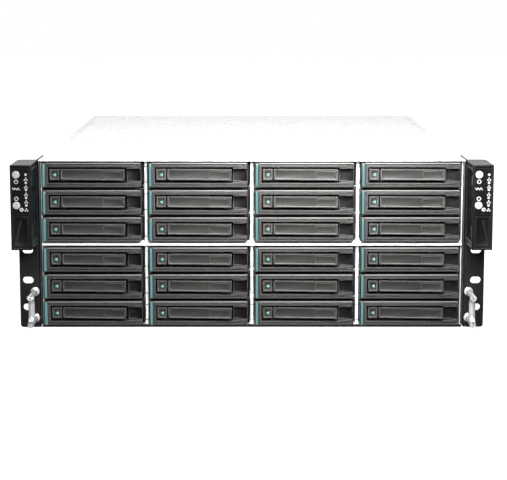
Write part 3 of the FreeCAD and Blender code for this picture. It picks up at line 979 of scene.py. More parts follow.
def cageLedge(x0, x1, row):
    top = rowBase(row) - cage["clearance"] * mm
    ledge = addBlock("ledge", (x0, cageLow.y + cage["ledgeStart"] * mm,
                               top - cage["ledgeThickness"] * mm), (x1, cageHigh.y, top))
    return soften(ledge, 0.25)


def cageSlot(x, z):
    c = cage
    wide, high = c["slotSize"][0] / 2 * mm, c["slotSize"][1] / 2 * mm
    slot = addBlock("slot", (x - wide, cageLow.y - over * mm, z - high),
                    (x + wide, cageLow.y + c["slotDepth"] * mm, z + high))
    return bevelEdges(slot, lambda edge: abs(edge.verts[0].co.y - edge.verts[1].co.y) > 3 * mm,
                      c["slotCorner"])


def cageDivider(name, x, low, high, bayRows, ledgeRows):
    # folded upright with rounded bends, a row of small slots and runners
    c = cage
    half, sheet = c["divider"] / 2 * mm, c["sheet"] * mm
    upright = addBlock(name, (x - half, cageLow.y, low), (x + half, cageHigh.y, high))
    bevelEdges(upright, lambda edge: abs(middleOf(edge).y - cageLow.y) < close
               and abs(middleOf(edge).x - x) > 0.5 * half, c["bend"], 5)
    cut(upright, addBlock("inside", (x - half + sheet, cageLow.y + sheet, low - over * mm),
                          (x + half - sheet, cageHigh.y + over * mm, high + over * mm)))
    for row in bayRows:
        for height in c["slotHeights"]:
            cut(upright, cageSlot(x, rowBase(row) + height * mm))
    pieces = [upright]
    ledge, overlap = c["ledge"] * mm, c["overlap"] * mm
    for row in ledgeRows:
        pieces.append(cageLedge(x - half - ledge, x - half + overlap, row))
        pieces.append(cageLedge(x + half - overlap, x + half + ledge, row))
    return finished(joined(name, pieces), "zincSheet")


def cageShelf(top):
    # sheet shelf with its front and back edges folded down, and a lip before it
    c = cage
    half, sheet = c["width"] / 2 * mm - c["sheet"] * mm, c["sheet"] * mm
    shelf = addBlock("cageShelf", (-half, cageLow.y, top - c["shelf"] * mm),
                     (half, cageHigh.y, top))
    bevelEdges(shelf, lambda edge: middleOf(edge).z > top - close
               and abs(middleOf(edge).x) < 0.5 * half, c["bend"], 5)
    cut(shelf, addBlock("under", (-half - over * mm, cageLow.y + sheet, top - c["shelfFold"] * mm),
                        (half + over * mm, cageHigh.y - sheet, top - sheet)))
    low, high = c["lipDrops"]
    lip = addBlock("lip", (-half, wallLow.y, top - low * mm),
                   (half, cageLow.y + c["lipDepth"] * mm, top - high * mm))
    return finished(joined("cageShelf", [shelf, soften(lip, 0.5, 3)]), "zincSheet")


def cageSide():
    half, sheet = cageHigh.x, cage["sheet"] * mm
    plate = addBlock("cageSide", (half - sheet, cageLow.y, cageLow.z),
                     (half, cageHigh.y, cageHigh.z))
    pieces = [soften(plate, 0.2)]
    for row in (1, 2, 4, 5, 6):
        pieces.append(cageLedge(half - (cage["sheet"] + cage["ledge"]) * mm,
                                half - sheet + cage["overlap"] * mm, row))
    return finished(joined("cageSide_right", pieces), "zincSheet")


def driveCage():
    shelfTop = rowBase(3) - cage["clearance"] * mm
    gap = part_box("tray_c2_r1")[0].x - bayLow.x
    first = bayLow.x + gap - cage["dividerOffset"] * mm
    upper = cageDivider("dividerUpper_1", first, shelfTop, cageHigh.z, (1, 2, 3), (1, 2))
    lower = cageDivider("dividerLower_1", first, cageLow.z, shelfTop - cage["shelf"] * mm,
                        (4, 5, 6), (4, 5, 6))
    side = cageSide()
    pieces = [upper, lower, side, flipped(side, "cageSide_left"), cageShelf(shelfTop)]
    for number in (1, 2):
        step = Vector((gap * number, 0, 0))
        pieces.append(copied(upper, f"dividerUpper_{number + 1}", step))
        pieces.append(copied(lower, f"dividerLower_{number + 1}", step))
    for piece in pieces:
        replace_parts(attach(piece, "enclosure"), "drive_cage")
    print("cage folded")


crossHead = {
    "sides": 28,
    "sunk": 0.2,
    "slotWidth": 0.55,
    "slotLength": 1.1,  # this and the next two are shares of the radius and of the height
    "slotDepth": 0.9,
    "dome": 0.45,
}


def crossScrew(place, direction, radius, height):
    # low domed head with a cross recess; place is on the sheet, direction points outward
    c = crossHead
    place, direction = Vector(place), Vector(direction)
    top = place + direction * height * mm
    head = addRod("screw", radius * mm, place - direction * c["sunk"] * mm, top, c["sides"])
    soften(head, c["dome"] * height, 3)
    turn = direction.to_track_quat("Z", "Y")
    for angle in (45, 135):
        deselectAll()
        bpy.ops.mesh.primitive_cube_add(size=1, location=top)
        slot = bpy.context.object
        slot.scale = (radius * c["slotLength"] * mm, c["slotWidth"] * mm,
                      c["slotDepth"] * height * mm)
        slot.rotation_euler = (turn @ Euler((0, 0, math.radians(angle))).to_quaternion()).to_euler()
        cut(head, settle(slot, "slot"))
    return finished(head, "screwSteel")


cover = {
    "sheet": 1.2,
    "hem": 3.0,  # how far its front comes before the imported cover's
    "bend": 0.7,
    "edge": 0.15,
    "lipStart": 200.0,
    "lipEnd": 4.2,
    "screwPlaces": [(x, y) for y in (-190, -60, 90, 240) for x in (-205, 205)]
    + [(-70, 252), (70, 252)],
    "screwRadius": 2.6,
    "screwHeight": 0.55,
    "seatRadius": 3.4,
    "seatDepth": 0.8,
}
coverLow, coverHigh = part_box("top_cover")


def topCover():
    # lid with folded edges and countersunk screws
    c = cover
    sheet, top = c["sheet"] * mm, coverHigh.z
    plate = addBlock("topCover", (coverLow.x, coverLow.y - c["hem"] * mm, top - sheet), coverHigh)
    bevelEdges(plate, lambda edge: middleOf(edge).z > top - close, c["bend"], 4)
    parts = [plate]
    for side in (-1, 1):
        inner, outer = sorted((side * (coverHigh.x - sheet), side * (coverHigh.x - 2 * sheet)))
        parts.append(addBlock("lip", (inner, coverLow.y + c["lipStart"] * mm, coverLow.z),
                               (outer, coverHigh.y - c["lipEnd"] * mm, top - sheet + close)))
    for x, y in c["screwPlaces"]:
        cut(plate, addRod("seat", c["seatRadius"] * mm, (x * mm, y * mm, top - c["seatDepth"] * mm),
                          (x * mm, y * mm, top + over * mm)))
    screw = crossScrew((0, 0, top - (c["seatDepth"] - 0.05) * mm), (0, 0, 1),
                       c["screwRadius"], c["screwHeight"])
    screws = scattered(screw, [(x, y, 0) for x, y in c["screwPlaces"]])
    for piece in parts:
        finished(piece, "coverSheet", c["edge"], 1)
    piece = joined("topCover", parts + screws)
    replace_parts(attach(piece, "enclosure"), "top_cover")
    print("cover made")


trims = {
    "wallEdge": (1.35, 0.3),  # inward and outward of the wall's outer face
    "wallDepth": (0.5, 6),
    "wallLift": 3,
    "topGap": 1.4,
    "sillHalf": 218.3,
    "sillFront": 0.2,
    "sillDepth": 4,
    "sillBottom": 1.25,
    "sillGap": 0.12,
}


def edgeTrims():
    # black edging on the side walls' front edges, and a black strip along the sill that paints the
    # shade under the lowest trays
    t = trims
    outer, front = wallHigh.x, wallLow.y
    inward, outward = t["wallEdge"]
    before, behind = t["wallDepth"]
    trim = addBlock("edgeTrim_right",
                    (outer - inward * mm, front - before * mm, t["wallLift"] * mm),
                    (outer + outward * mm, front + behind * mm, coverHigh.z - t["topGap"] * mm))
    finished(trim, "gripBlack", 0.35, 3)
    # black strip in the gap under the lowest trays: painted shade
    sill = addBlock("sill", (-t["sillHalf"] * mm, bayLow.y + t["sillFront"] * mm,
                             t["sillBottom"] * mm),
                    (t["sillHalf"] * mm, front + t["sillDepth"] * mm,
                     rowBase(6) - t["sillGap"] * mm))
    finished(sill, "blackAndPaintedShade", 0.15)
    for piece in (trim, flipped(trim, "edgeTrim_left"), sill):
        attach(piece, "enclosure")
    print("edges trimmed")


sideScrews = {
    "radius": 2.8,
    "height": 0.7,
    "wallPlaces": [(-120, 16), (-120, 160), (20, 16), (20, 160), (150, 16), (150, 160),
                   (252, 40), (252, 140)],
    "flangeHeights": (18, 62, 112, 158),
    "flangeStand": 2.5,  # the ears' flanges stand out from the wall
    "flangeEnd": 9,
}


def bodyScrews():
    # screws through the body's sides and the ears' flanges, drawn on the right
    s = sideScrews
    screw = crossScrew((wallHigh.x, 0, 0), (1, 0, 0), s["radius"], s["height"])
    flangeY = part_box("rack_ears")[1].y / mm - s["flangeEnd"]
    places = [(0, y, z) for y, z in s["wallPlaces"]]
    places += [(s["flangeStand"], flangeY, z) for z in s["flangeHeights"]]
    right = joined("bodyScrews_right", scattered(screw, places))
    for piece in (right, flipped(right, "bodyScrews_left")):
        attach(piece, "enclosure")
    print("body screws placed")


# Modules at the back

supply = {
    "x0": -213.1,
    "x1": -109.1,
    "z0": 4.7,
    "z1": 171.3,
    "back": 266.45,
    "copyStep": 322.2,
    "ventX": (8, 44),
    "ventZ": (52, 78),
    "ventCount": 9,
    "lamp": (52, 20),
    "screwSpread": (40.5, 38),  # from the fan's middle
    "screwSize": (2.5, 0.8),
}


def rearBlock(name, x0, x1, y0, y1, z0, z1):
    # y is measured outward from the modules' rear faces
    back = supply["back"]
    return addBlock(name, (x0 * mm, (back + y0) * mm, z0 * mm),
                    (x1 * mm, (back + y1) * mm, z1 * mm))


def rearBox(name, x, z, width, height, y0, y1):
    # the same from its middle and its whole width and height
    return rearBlock(name, x - width / 2, x + width / 2, y0, y1, z - height / 2, z + height / 2)


def rearRod(name, radius, x, z, y0, y1, sides=32):
    back = supply["back"]
    return addRod(name, radius * mm, (x * mm, (back + y0) * mm, z * mm),
                  (x * mm, (back + y1) * mm, z * mm), sides)


def rearLamp(radius, x, z, height, sides, edge, segments):
    return finished(rearRod("lamp", radius, x, z, -0.5, height, sides), "ledTeal", edge, segments)


def rearScrews(places):
    screw = crossScrew((0, supply["back"] * mm, 0), (0, 1, 0), *supply["screwSize"])
    return scattered(screw, [(x, 0, z) for x, z in places])


def moduleBody(name, sizes, cutters):
    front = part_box(name)[0].y / mm - supply["back"]
    body = rearBlock("body", sizes["x0"], sizes["x1"], front, 0, sizes["z0"], sizes["z1"])
    rear = supply["back"] * mm - close
    bevelEdges(body, lambda edge: middleOf(edge).y > rear, 0.8)
    return finished(cut(body, *cutters), "moduleSheet", 0.2)


def ventSlots(x0, x1, z0, z1, count):
    # rounded upright slots, each a little over half its pitch wide
    slots = []
    pitch = (x1 - x0) / count
    for number in range(count):
        x = x0 + (number + 0.5) * pitch
        slot = rearBlock("slot", x - pitch * 0.27, x + pitch * 0.27, -2.5, over, z0, z1)
        slots.append(soften(slot, pitch * 0.2, 3))
    return joined("slots", slots)


def taperTip(piece, reach, level, step):
    # draw the outer corners above and below a level towards it
    outer, level = supply["back"] * mm + reach * mm - close, level * mm
    slideCorners(piece, lambda corner: corner.co.y > outer and corner.co.z > level, (0, 0, -step))
    slideCorners(piece, lambda corner: corner.co.y > outer and corner.co.z < level, (0, 0, step))


fan = {
    "radius": 36.0,
    "recess": 7.0,
    "drop": 44.0,  # its middle below the module's top
    "hubRadius": 12.5,
    "hubFront": -3.2,
    "bladeRoot": 11,
    "bladeGap": 1.5,
    "bladeY": (1.6, 2.3),
    "bladeHalf": 7,
    "bladePitch": 14,
    "bladeMiddle": (23, 2),
    "blades": 7,
    "bar": 2.4,
    "barDepth": 2,
    "rings": (13.0, 22.0, 31.0),
    "wire": 0.7,
}


def fanRotor(x, z):
    # hub and pitched blades behind a guard of rings and crossed bars
    f = fan
    depth, back = f["recess"], supply["back"]
    hub = finished(rearRod("hub", f["hubRadius"], x, z, -depth, f["hubFront"], 40),
                   "fanBlack", 1.2, 4)
    near, far = f["bladeY"]
    blade = rearBlock("blade", x + f["bladeRoot"], x + f["radius"] - f["bladeGap"],
                      near - depth, far - depth, z - f["bladeHalf"], z + f["bladeHalf"])
    editing(blade, "FACE", True)
    alongX, alongY = f["bladeMiddle"]
    centre = ((x + alongX) * mm, (back - depth + alongY) * mm, z * mm)
    bpy.ops.transform.rotate(value=math.radians(f["bladePitch"]), orient_axis="X",
                             center_override=centre)
    turns = f["blades"] - 1
    bpy.ops.mesh.spin(steps=turns, dupli=True, angle=math.radians(360 * turns / f["blades"]),
                      center=(x * mm, back * mm, z * mm), axis=(0, 1, 0))
    pieces = [hub, finished(doneEditing(blade), "fanBlack", 0.2, 1)]
    reach = 2 * (f["radius"] + f["bar"])
    for width, height in ((reach, f["bar"]), (f["bar"], reach)):
        bar = rearBox("bar", x, z, width, height, -f["barDepth"], 0)
        pieces.append(finished(bar, "chrome", 0.5, 3))
    for radius in f["rings"]:
        ring = addRing("ring", radius * mm, f["wire"] * mm,
                       (x * mm, (back - f["barDepth"] / 2) * mm, z * mm), 56, 8)
        pieces.append(finished(ring, "chrome", angle=60))
    return pieces


inlet = {
    "x": 18.0,
    "z": 14.5,
    "width": 27.0,
    "height": 20.0,
    "depth": 16.0,
    "wall": 1.8,
    "stand": 0.5,
    "chamfer": 4,
    "pinPitch": 7,
    "pinWidth": 2,
    "pinHeight": 4,
    "pinLength": 11,
}


def inletHole(name, x, z, end):
    n = inlet
    return rearBox(name, x, z, n["width"] + 2 * n["wall"], n["height"] + 2 * n["wall"],
                   -n["depth"] - n["stand"], end)


def powerInlet(x, z):
    # black liner with three flat pins, set in the module's face
    n = inlet
    liner = inletHole("liner", x, z, n["stand"])
    rear = supply["back"] * mm + n["stand"] * mm - close
    bevelEdges(liner, lambda edge: middleOf(edge).y > rear, 0.4, 2)
    socket = rearBox("socket", x, z, n["width"], n["height"], -n["depth"], 2 * over)
    side, bottom = 0.45 * n["width"] * mm, (z - n["height"] / 2) * mm + close
    bevelEdges(socket, lambda edge: abs(middleOf(edge).x - x * mm) > side
               and middleOf(edge).z < bottom
               and abs(edge.verts[0].co.y - edge.verts[1].co.y) > 5 * mm, n["chamfer"], 1)
    pieces = [finished(cut(liner, socket), "gripBlack")]
    for number in (-1, 0, 1):
        pin = rearBox("pin", x + number * n["pinPitch"], z, n["pinWidth"], n["pinHeight"],
                      -n["depth"] - 0.2, n["pinLength"] - n["depth"])
        pieces.append(finished(pin, "pinBrass", 0.5, 3))
    return pieces


grip = {
    "x": 88.0,
    "z": 44.0,
    "width": 4.0,
    "height": 60.0,
    "root": 8.0,
    "reach": 22.0,
    "ribs": 5,
    "ribStart": 9,
    "ribPitch": 2.6,
    "ribWidth": 1.0,
    "ribShare": 0.75,
}


def gripFin(x, z):
    # tapered fin with softened edges and finger ribs
    g = grip
    tall = g["height"] + 2 * g["root"]
    fin = rearBlock("fin", x, x + g["width"], -0.5, g["reach"], z - tall / 2, z + tall / 2)
    taperTip(fin, g["reach"], z, g["root"])
    half = g["height"] / 2 * g["ribShare"]
    for number in range(g["ribs"]):
        y = g["ribStart"] + number * g["ribPitch"]
        for side in (x - over, x + g["width"] - 0.4):
            cut(fin, rearBlock("rib", side, side + 1.4, y - g["ribWidth"] / 2,
                               y + g["ribWidth"] / 2, z - half, z + half))
    return finished(fin, "gripBlack", 0.6, 3)


def powerSupply():
    v = supply
    left, low = v["x0"], v["z0"]
    middle, fanZ = (left + v["x1"]) / 2, v["z1"] - fan["drop"]
    place = (left + inlet["x"], low + inlet["z"])
    ventStart, ventEnd = v["ventX"]
    cutters = [rearRod("opening", fan["radius"], middle, fanZ, -fan["recess"], over, 64),
               inletHole("inlet", *place, over),
               ventSlots(left + ventStart, left + ventEnd, *v["ventZ"], v["ventCount"])]
    pieces = [moduleBody("power_supplies", v, cutters)]
    pieces += fanRotor(middle, fanZ) + powerInlet(*place)
    pieces.append(gripFin(left + grip["x"], low + grip["z"]))
    across, upward = v["screwSpread"]
    pieces += rearScrews([(x, z) for x in (middle - across, middle + across)
                          for z in (fanZ - upward, fanZ + upward)])
    lampX, lampZ = v["lamp"]
    pieces.append(rearLamp(1.8, left + lampX, lampZ, 0.6, 24, 0.4, 3))
    return joined("powerSupply_left", pieces)


module = {
    "x0": -103.6,
    "x1": 103.6,
    "z0": 4.7,
    "z1": 85.25,
    "copyStep": 86.05,
    "ventX": (8, 56),  # from either side
    "ventZ": (34, 72),
    "ventCount": 12,
    "portWidth": 24.0,
    "portHeight": 10.0,
    "portDepth": 12.0,
    "portWall": 0.8,
    "portPlaces": (-20.0, 20.0),
    "tongueInset": 3,
    "tongueEnd": -3.5,
    "contacts": 12,
    "contactStart": 4.2,
    "contactPitch": 1.42,
    "lampLift": 10,
    "tabWidth": 16.0,
    "tabHeight": 9.0,
    "tabTip": 3.0,
    "tabReach": 9.0,
    "tabMargin": 6.0,
    "screwInset": 5,
}


def portBox(name, x, z, end):
    m = module
    return rearBox(name, x, z, m["portWidth"] + 2 * m["portWall"],
                   m["portHeight"] + 2 * m["portWall"], -m["portDepth"] - 0.4, end)


def cablePort(x, z):
    # sheet metal cage round a connector tongue with a row of contacts
    m = module
    wide, deep = m["portWidth"], m["portDepth"]
    shell = portBox("shell", x, z, 0.8)
    cut(shell, rearBox("inside", x, z, wide, m["portHeight"], -deep, 2 * over))
    tongue = rearBox("tongue", x, z, wide - 2 * m["tongueInset"], 1.6, -deep - 0.2, m["tongueEnd"])
    pieces = [finished(shell, "screwSteel", 0.15), finished(tongue, "gripBlack", 0.25)]
    contacts = []
    for number in range(m["contacts"]):
        at = x - wide / 2 + m["contactStart"] + number * m["contactPitch"]
        contacts.append(rearBox("contact", at, z + 0.85, 0.6, 0.2, 0.5 - deep,
                                m["tongueEnd"] - 0.3))
    pieces.append(painted(joined("contacts", contacts), "pinBrass"))
    return pieces


def ejectorTab(x, z):
    m = module
    tab = rearBlock("tab", x, x + m["tabWidth"], -0.5, m["tabReach"], z, z + m["tabHeight"])
    taperTip(tab, m["tabReach"], z + m["tabHeight"] / 2, (m["tabHeight"] - m["tabTip"]) / 2)
    return finished(tab, "gripBlack", 0.7, 3)


def ioModule():
    m = module
    left, right = m["x0"], m["x1"]
    z = (m["z0"] + m["z1"]) / 2
    start, end = m["ventX"]
    cutters = [portBox("port", x, z, over) for x in m["portPlaces"]]
    cutters += [ventSlots(x, x + end - start, *m["ventZ"], m["ventCount"])
                for x in (left + start, right - end)]
    pieces = [moduleBody("io_modules", m, cutters)]
    for x in m["portPlaces"]:
        pieces += cablePort(x, z)
        pieces.append(rearLamp(0.9, x, z + m["lampLift"], 0.35, 16, 0.2, 2))
    margin, inset = m["tabMargin"], m["screwInset"]
    for x in (left + margin, right - margin - m["tabWidth"]):
        pieces.append(ejectorTab(x, m["z0"] + margin))
    pieces += rearScrews([(x, m["z1"] - inset) for x in (left + inset, right - inset)])
    return joined("ioModule_lower", pieces)


def rearModules():
    left = powerSupply()
    right = copied(left, "powerSupply_right", (supply["copyStep"] * mm, 0, 0))
    lower = ioModule()
    upper = copied(lower, "ioModule_upper", (0, 0, module["copyStep"] * mm))
    for piece in (left, right):
        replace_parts(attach(piece, "enclosure"), "power_supplies")
    for piece in (lower, upper):
        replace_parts(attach(piece, "enclosure"), "io_modules")
    print("rear modules made")


handle = {
    "rod": 3.3,
    "outset": 2.9,
    "bend": 8.0,
    "bendSteps": 10,
    "flange": 4.6,
    "flangeDepth": 1.2,
}


def pullHandle(name):
    # the right one: a bar drawn along its path by extruding and spinning its end
    h = handle
    low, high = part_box("pull_handles")
    rod, bend = h["rod"] * mm, h["bend"] * mm
    x = high.x - h["outset"] * mm
    root, front = high.y, low.y + rod
    bottom, top = low.z + rod, high.z - rod
    deselectAll()
    bpy.ops.mesh.primitive_circle_add(vertices=32, radius=rod, location=(x, root, bottom),
                                      rotation=(math.radians(90), 0, 0))
    bar = settle(bpy.context.object, name)
    editing(bar, "EDGE", True)
    forward = (0, front + bend - root, 0)
    for step, corner in ((forward, bottom + bend), ((0, 0, top - bottom - 2 * bend), top - bend)):
        bpy.ops.mesh.extrude_region_move(TRANSFORM_OT_translate={"value": step})
        bpy.ops.mesh.spin(steps=h["bendSteps"], angle=-math.pi / 2,
                          center=(x, front + bend, corner), axis=(1, 0, 0))
    bpy.ops.mesh.extrude_region_move(TRANSFORM_OT_translate={"value": (0, -forward[1], 0)})
    bpy.ops.mesh.select_all(action="SELECT")
    bpy.ops.mesh.remove_doubles(threshold=0.001 * mm)
    bpy.ops.mesh.normals_make_consistent(inside=False)
    pieces = [doneEditing(bar)]
    for z in (bottom, top):
        flange = addRod("flange", h["flange"] * mm, (x, root - h["flangeDepth"] * mm, z),
                        (x, root, z), 40)
        pieces.append(soften(flange, 0.5, 3))
    return finished(joined(name, pieces), "handleChrome", angle=50)


def pullHandles():
    right = pullHandle("pullHandle_right")
    left = flipped(right, "pullHandle_left")
    for piece in (right, left):
        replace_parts(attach(piece, "enclosure"), "pull_handles")
    print("pull handles bent")


pod = {
    "width": 20.8,
    "rim": 1.5,
    "edge": 0.9,
    "panelSink": 0.5,
    "panelSide": 2.1,
    "panelTop": 3.6,
    "panelGap": 2.2,
    "coverWidth": 15.3,
    "coverHeight": 30.4,
    "coverLift": 4.0,
    "coverGap": 0.35,
    "coverDepth": 2.9,
    "coverRim": 0.9,
    "coverSink": 0.25,
    "pinholeDrop": 25.8,
    "pinholeRadius": 0.5,
    "sideMargin": 3.0,
    "sideSink": 0.6,
    "windowSetback": 2.5,
    "windowDepth": 9.0,
    "windowHeight": 10.5,
    "windowDrops": [11.5, 62.3],
    "ribDrops": [5.4, 79.6],
    "ribHeight": 0.7,
}
podLow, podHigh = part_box("control_pods")
podMiddle = podHigh.x - pod["width"] / 2 * mm
podHeight = (podHigh.z - podLow.z) / mm
podDepth = (podHigh.y - podLow.y) / mm
coverBottom = podHeight - pod["coverLift"]
coverTop = coverBottom - pod["coverHeight"]


def podPoint(x, y, drop):
    # from the right pod's middle, its front and its top
    return podMiddle + x * mm, podLow.y + y * mm, podHigh.z - drop * mm


def podBlock(name, x0, x1, y0, y1, drop0, drop1):
    return addBlock(name, podPoint(x0, y0, drop1), podPoint(x1, y1, drop0))


def podShell(name):
    p = pod
    half, sink, margin = p["width"] / 2, p["panelSink"], p["sideMargin"]
    shell = podBlock(name, -half, half, 0, podDepth, 0, podHeight)
    root = podHigh.y - close
    bevelEdges(shell, lambda edge: middleOf(edge).y < root, p["edge"], 4)
    insetFaces(shell, facesFront, p["rim"] - p["edge"], sink)
    opening = podBlock("opening", -p["coverWidth"] / 2, p["coverWidth"] / 2, -over, 3,
                       coverTop, coverBottom)
    side = podBlock("side", -half - over, p["sideSink"] - half, margin, podDepth - margin - 1,
                    margin, podHeight - margin)
    cut(shell, opening, side)
    extras = []
    front, back = p["windowSetback"] + 1, p["windowSetback"] + p["windowDepth"]
    for drop in p["windowDrops"]:
        end = drop + p["windowHeight"]
        cut(shell, podBlock("window", -half - over, 3 - half, front, back, drop, end))
        # lighter grey plate at the back of each side window: painted light on the window's back
        # wall
        windowHighlight = podBlock("windowHighlight", 0.8 - half, 3.1 - half, back - 1.6, back + 0.1,
                         drop + 0.3, end - 0.3)
        extras.append(finished(windowHighlight, "podHighlightGrey", 0.4, 3))
    for drop in p["ribDrops"]:
        # raised ribs in the lighter grey, which paints their highlight streaks
        rib = podBlock("rib", 0.05 - half, 0.8 - half, margin, podDepth - margin - 2,
                       drop, drop + p["ribHeight"])
        extras.append(finished(rib, "podHighlightGrey", 0.2))
    soften(shell, 0.2)
    inner = half - p["panelSide"]
    panel = podBlock("panel", -inner, inner, sink - 0.05, sink + 0.4, p["panelTop"],
                     coverTop - p["panelGap"])
    pieces = [finished(shell, "podBlack"), finished(panel, "podPanel", 0.04, 1)]
    return joined(name, pieces + extras)


def podCover(name):
    # port cover with a pinhole
    p = pod
    half, gap = p["coverWidth"] / 2 - p["coverGap"], p["coverGap"]
    piece = podBlock(name, -half, half, 0.1, p["coverDepth"], coverTop + gap, coverBottom - gap)
    insetFaces(piece, facesFront, p["coverRim"], p["coverSink"])
    drop = coverBottom - p["pinholeDrop"]
    cut(piece, addRod("pinhole", p["pinholeRadius"] * mm, podPoint(0, -over, drop),
                      podPoint(0, over, drop), 20))
    return finished(piece, "podBlack", 0.22)


marks = {
    "discX": -4.2,
    "discRadius": 3.75,
    "discStand": 0.65,
    "discDrops": [9.7, 40.7],  # the push button and the lens
    "discRing": (0.55, 0.2),  # share of the disc's radius, and the ring's own
    "pointer": (0.25, 1.6, 0.1),
    "ringDrops": [16.8, 34.0],
    "ringRadius": 1.75,
    "ringWire": 0.5,
    "smallDisc": (0.8, 45.0, 2.0),
    "smallMark": 0.4,
    "ledX": 5.6,
    "ledDrops": [9.7, 17.8, 24.9, 33.0, 40.7],
    "ledRadius": 1.25,
    "trioDrops": [14.3, 21.9, 29.5, 37.1, 45.2],
    "trioPlaces": ((0, 0.95), (-1.15, -0.75), (1.15, -0.75)),
    "trioRadius": 0.75,
    "waveX": (-3.6, -2.3, -0.9, 0.5, 1.9, 3.5),
    "waveDrops": (22.6, 25.3),
    "waveHalf": 0.45,
}


def podStud(name, x, drop, radius, low, high, sides, finish, edge=0.0):
    # short round piece standing on the panel; low and high are measured forward from it
    sink = pod["panelSink"]
    stud = addRod(name, radius * mm, podPoint(x, sink - low, drop), podPoint(x, sink - high, drop),
                  sides)
    return finished(stud, finish, edge, 3, 50)


def podRing(x, drop, major, minor, stand, across, finish):
    ring = addRing("ring", major * mm, minor * mm, podPoint(x, pod["panelSink"] - stand, drop),
                   28, across)
    return finished(ring, finish, angle=60)


def podDisc(drop):
    # white button or lens with a ring and a pointer on its face
    k = marks
    x, radius, stand, sink = k["discX"], k["discRadius"], k["discStand"], pod["panelSink"]
    share, wire = k["discRing"]
    half, up, down = k["pointer"]
    disc = podStud("disc", x, drop, radius, -3, stand, 48, "printWhite", 0.5)
    ring = podRing(x, drop, radius * share, wire, stand, 6, "markGrey")
    pointer = podBlock("pointer", x - half, x + half, sink - stand - 0.12, sink - stand + 0.15,
                       drop - up, drop + down)
    return [disc, ring, painted(pointer, "markGrey")]


def podWave():
    # zigzag of leaning bars
    k = marks
    sink, half = pod["panelSink"], k["waveHalf"]
    level = podPoint(0, 0, sum(k["waveDrops"]) / 2)[2]
    bars = []
    for number, ends in enumerate(zip(k["waveX"], k["waveX"][1:])):
        bar = podBlock("bar", k["discX"] - half, k["discX"] + half, sink - 0.16, sink + 0.2,
                       *k["waveDrops"])
        bottom, top = ends if number % 2 else reversed(ends)
        slideCorners(bar, lambda corner: corner.co.z < level, (bottom, 0, 0))
        slideCorners(bar, lambda corner: corner.co.z > level, (top, 0, 0))
        bars.append(painted(bar, "printWhite"))
    return bars


def podMarks(name):
    k = marks
    pieces = []
    for drop in k["ledDrops"]:
        pieces.append(podStud("led", k["ledX"], drop, k["ledRadius"], -0.2, 0.3, 20,
                              "printWhite", 0.2))
    for drop in k["trioDrops"]:
        for x, lift in k["trioPlaces"]:
            pieces.append(podStud("trio", k["ledX"] + x, drop - lift, k["trioRadius"],
                                  -0.1, 0.16, 12, "printWhite"))
    for drop in k["ringDrops"]:
        pieces.append(podRing(k["discX"], drop, k["ringRadius"], k["ringWire"], 0, 8,
                              "printWhite"))
    x, drop, radius = k["smallDisc"]
    pieces.append(podStud("smallDisc", x, drop, radius, -0.2, 0.3, 28, "printWhite", 0.2))
    pieces.append(podStud("smallMark", x, drop, radius * k["smallMark"], 0.2, 0.34, 16, "markGrey"))
    return joined(name, pieces + podWave() + podDisc(k["discDrops"][1]))


def controlPods():
    shell = podShell("podShell_right")
    cover = podCover("podCover_right")
    signs = podMarks("podMarks_right")
    button = joined("pushButton_right", podDisc(marks["discDrops"][0]))
    across = (-2 * podMiddle, 0, 0)
    for piece in (shell, flipped(shell, "podShell_left")):
        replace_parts(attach(piece, "enclosure"), "control_pods")
    for piece in (cover, flipped(cover, "podCover_left")):
        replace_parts(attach(piece, "enclosure"), "port_covers")
    for piece in (signs, copied(signs, "podMarks_left", across)):
        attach(piece, "enclosure")
    for piece, side in ((button, "right"), (copied(button, "pushButton_left", across), "left")):
        node = f"{side}_push_button"
        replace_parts(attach(piece, node), node)
    print("pods made")


# Studio

studio = {
    "floorSize": 12.0,
    "floorTones": (0.90, 0.93),
    "floorBounce": 0.07,
    "floorGlow": 0.55,
    "lens": 96.6,
    "cameraHeight": 0.3442,
    "cameraDistance": 1.3877,
    "pitch": 7.73,
    "yaw": 0.07,
    "shift": -0.12,
    "frontGlow": 0.10,
    "backGlow": 0.8,
    "topGlow": 0.06,
}
# place, target, width, height, power, spread
softboxes = {
    "topFrontBox": ((0.08, -0.43, 0.31), (0.07, -0.25, 0.19), 0.26, 0.08, 2.4, 120),
    "frontBox": ((0.0, -1.4, 0.66), (0, -0.25, 0.08), 0.7, 0.4, 22, 180),
    "rearBox": ((0.0, 1.3, 0.9), (0, 0.26, 0.08), 2.2, 0.8, 7, 180),
    "coverBox": ((0.0, 0.25, 1.1), (0, 0.05, 0.17), 1.0, 1.0, 0.8, 180),
}


def addSoftbox(name, place, target, width, height, power, spread):
    deselectAll()
    bpy.ops.object.light_add(type="AREA", location=place)
    lamp = bpy.context.object
    lamp.name = name
    lamp.data.shape = "RECTANGLE"
    lamp.data.size = width
    lamp.data.size_y = height
    lamp.data.energy = power
    lamp.data.spread = math.radians(spread)
    lamp.visible_camera = False
    lamp.rotation_euler = (Vector(target) - Vector(place)).to_track_quat("-Z", "Y").to_euler()


def floorFinish():
    # pale floor that bounces less light than it shows
    material, tree, shader = newMaterial("floorPale")
    grain = useGroup(tree, "grain", Grain_Size=4 * mm, Patch_Size=600 * mm)
    shown = tinted(tree, grain.outputs["Patch"], *studio["floorTones"])
    path = addNode(tree, "ShaderNodeLightPath")
    held = addNode(tree, "ShaderNodeMix", {0: path.outputs["Is Camera Ray"], 7: shown},
                   data_type="RGBA")
    held.inputs["A"].default_value = colourOf(studio["floorBounce"])
    tree.links.new(held.outputs["Result"], shader.inputs["Base Color"])
    shader.inputs["Emission Color"].default_value = colourOf(studio["floorGlow"])
    tree.links.new(path.outputs["Is Camera Ray"], shader.inputs["Emission Strength"])
    shader.inputs["Roughness"].default_value = 0.7
    shader.inputs["Specular IOR Level"].default_value = 0.2
    return material


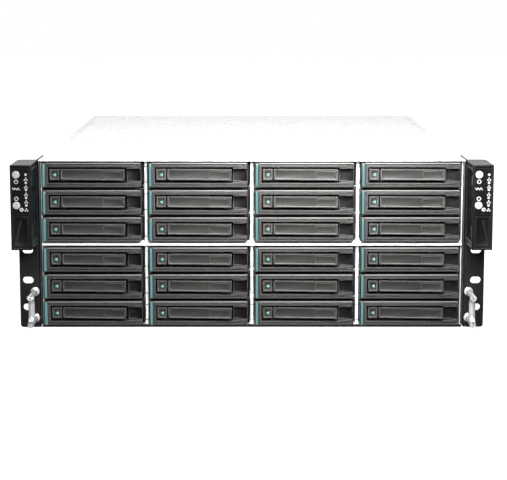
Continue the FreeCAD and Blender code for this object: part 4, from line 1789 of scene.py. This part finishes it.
def setWorld():
    # white to the camera; for the object, bright behind and above and dimmer in front
    world = bpy.data.worlds.new("studioWorld")
    bpy.context.scene.world = world
    world.use_nodes = True
    tree = world.node_tree
    background = tree.nodes["Background"]
    place = addNode(tree, "ShaderNodeTexCoord").outputs["Generated"]
    parts = addNode(tree, "ShaderNodeSeparateXYZ", {0: place})
    behind = addNode(tree, "ShaderNodeMapRange",
                     {"Value": parts.outputs["Y"], "From Min": -0.6, "From Max": 0.5,
                      "To Min": studio["frontGlow"], "To Max": studio["backGlow"]})
    above = addNode(tree, "ShaderNodeMapRange",
                    {"Value": parts.outputs["Z"], "From Min": 0.2, "From Max": 0.9,
                     "To Min": 0.0, "To Max": studio["topGlow"]})
    total = addNode(tree, "ShaderNodeMath", {0: behind.outputs[0], 1: above.outputs[0]},
                    operation="ADD")
    path = addNode(tree, "ShaderNodeLightPath")
    strength = addNode(tree, "ShaderNodeMix",
                       {0: path.outputs["Is Camera Ray"], 2: total.outputs[0], 3: 1.0},
                       data_type="FLOAT")
    tree.links.new(strength.outputs[0], background.inputs["Strength"])
    background.inputs["Color"].default_value = (1, 1, 1, 1)


def setStudio():
    deselectAll()
    bpy.ops.mesh.primitive_plane_add(size=studio["floorSize"], location=(0, 0, 0))
    floor = settle(bpy.context.object, "floor")
    floor.data.materials.append(floorFinish())
    setWorld()
    for name, values in softboxes.items():
        addSoftbox(name, *values)
    print("studio lit")


def setCamera():
    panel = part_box("rack_ears")[0].y
    deselectAll()
    bpy.ops.object.camera_add(location=(0, panel - studio["cameraDistance"],
                                        studio["cameraHeight"]))
    camera = bpy.context.object
    camera.rotation_euler = (math.radians(90 - studio["pitch"]), 0, math.radians(-studio["yaw"]))
    camera.data.lens = studio["lens"]
    camera.data.shift_y = studio["shift"]
    bpy.context.scene.camera = camera
    bpy.context.scene.view_settings.view_transform = "Standard"


setCamera()
setStudio()
metalwork()
driveCage()
topCover()
edgeTrims()
bodyScrews()
dressBays()
pullHandles()
controlPods()
rearModules()
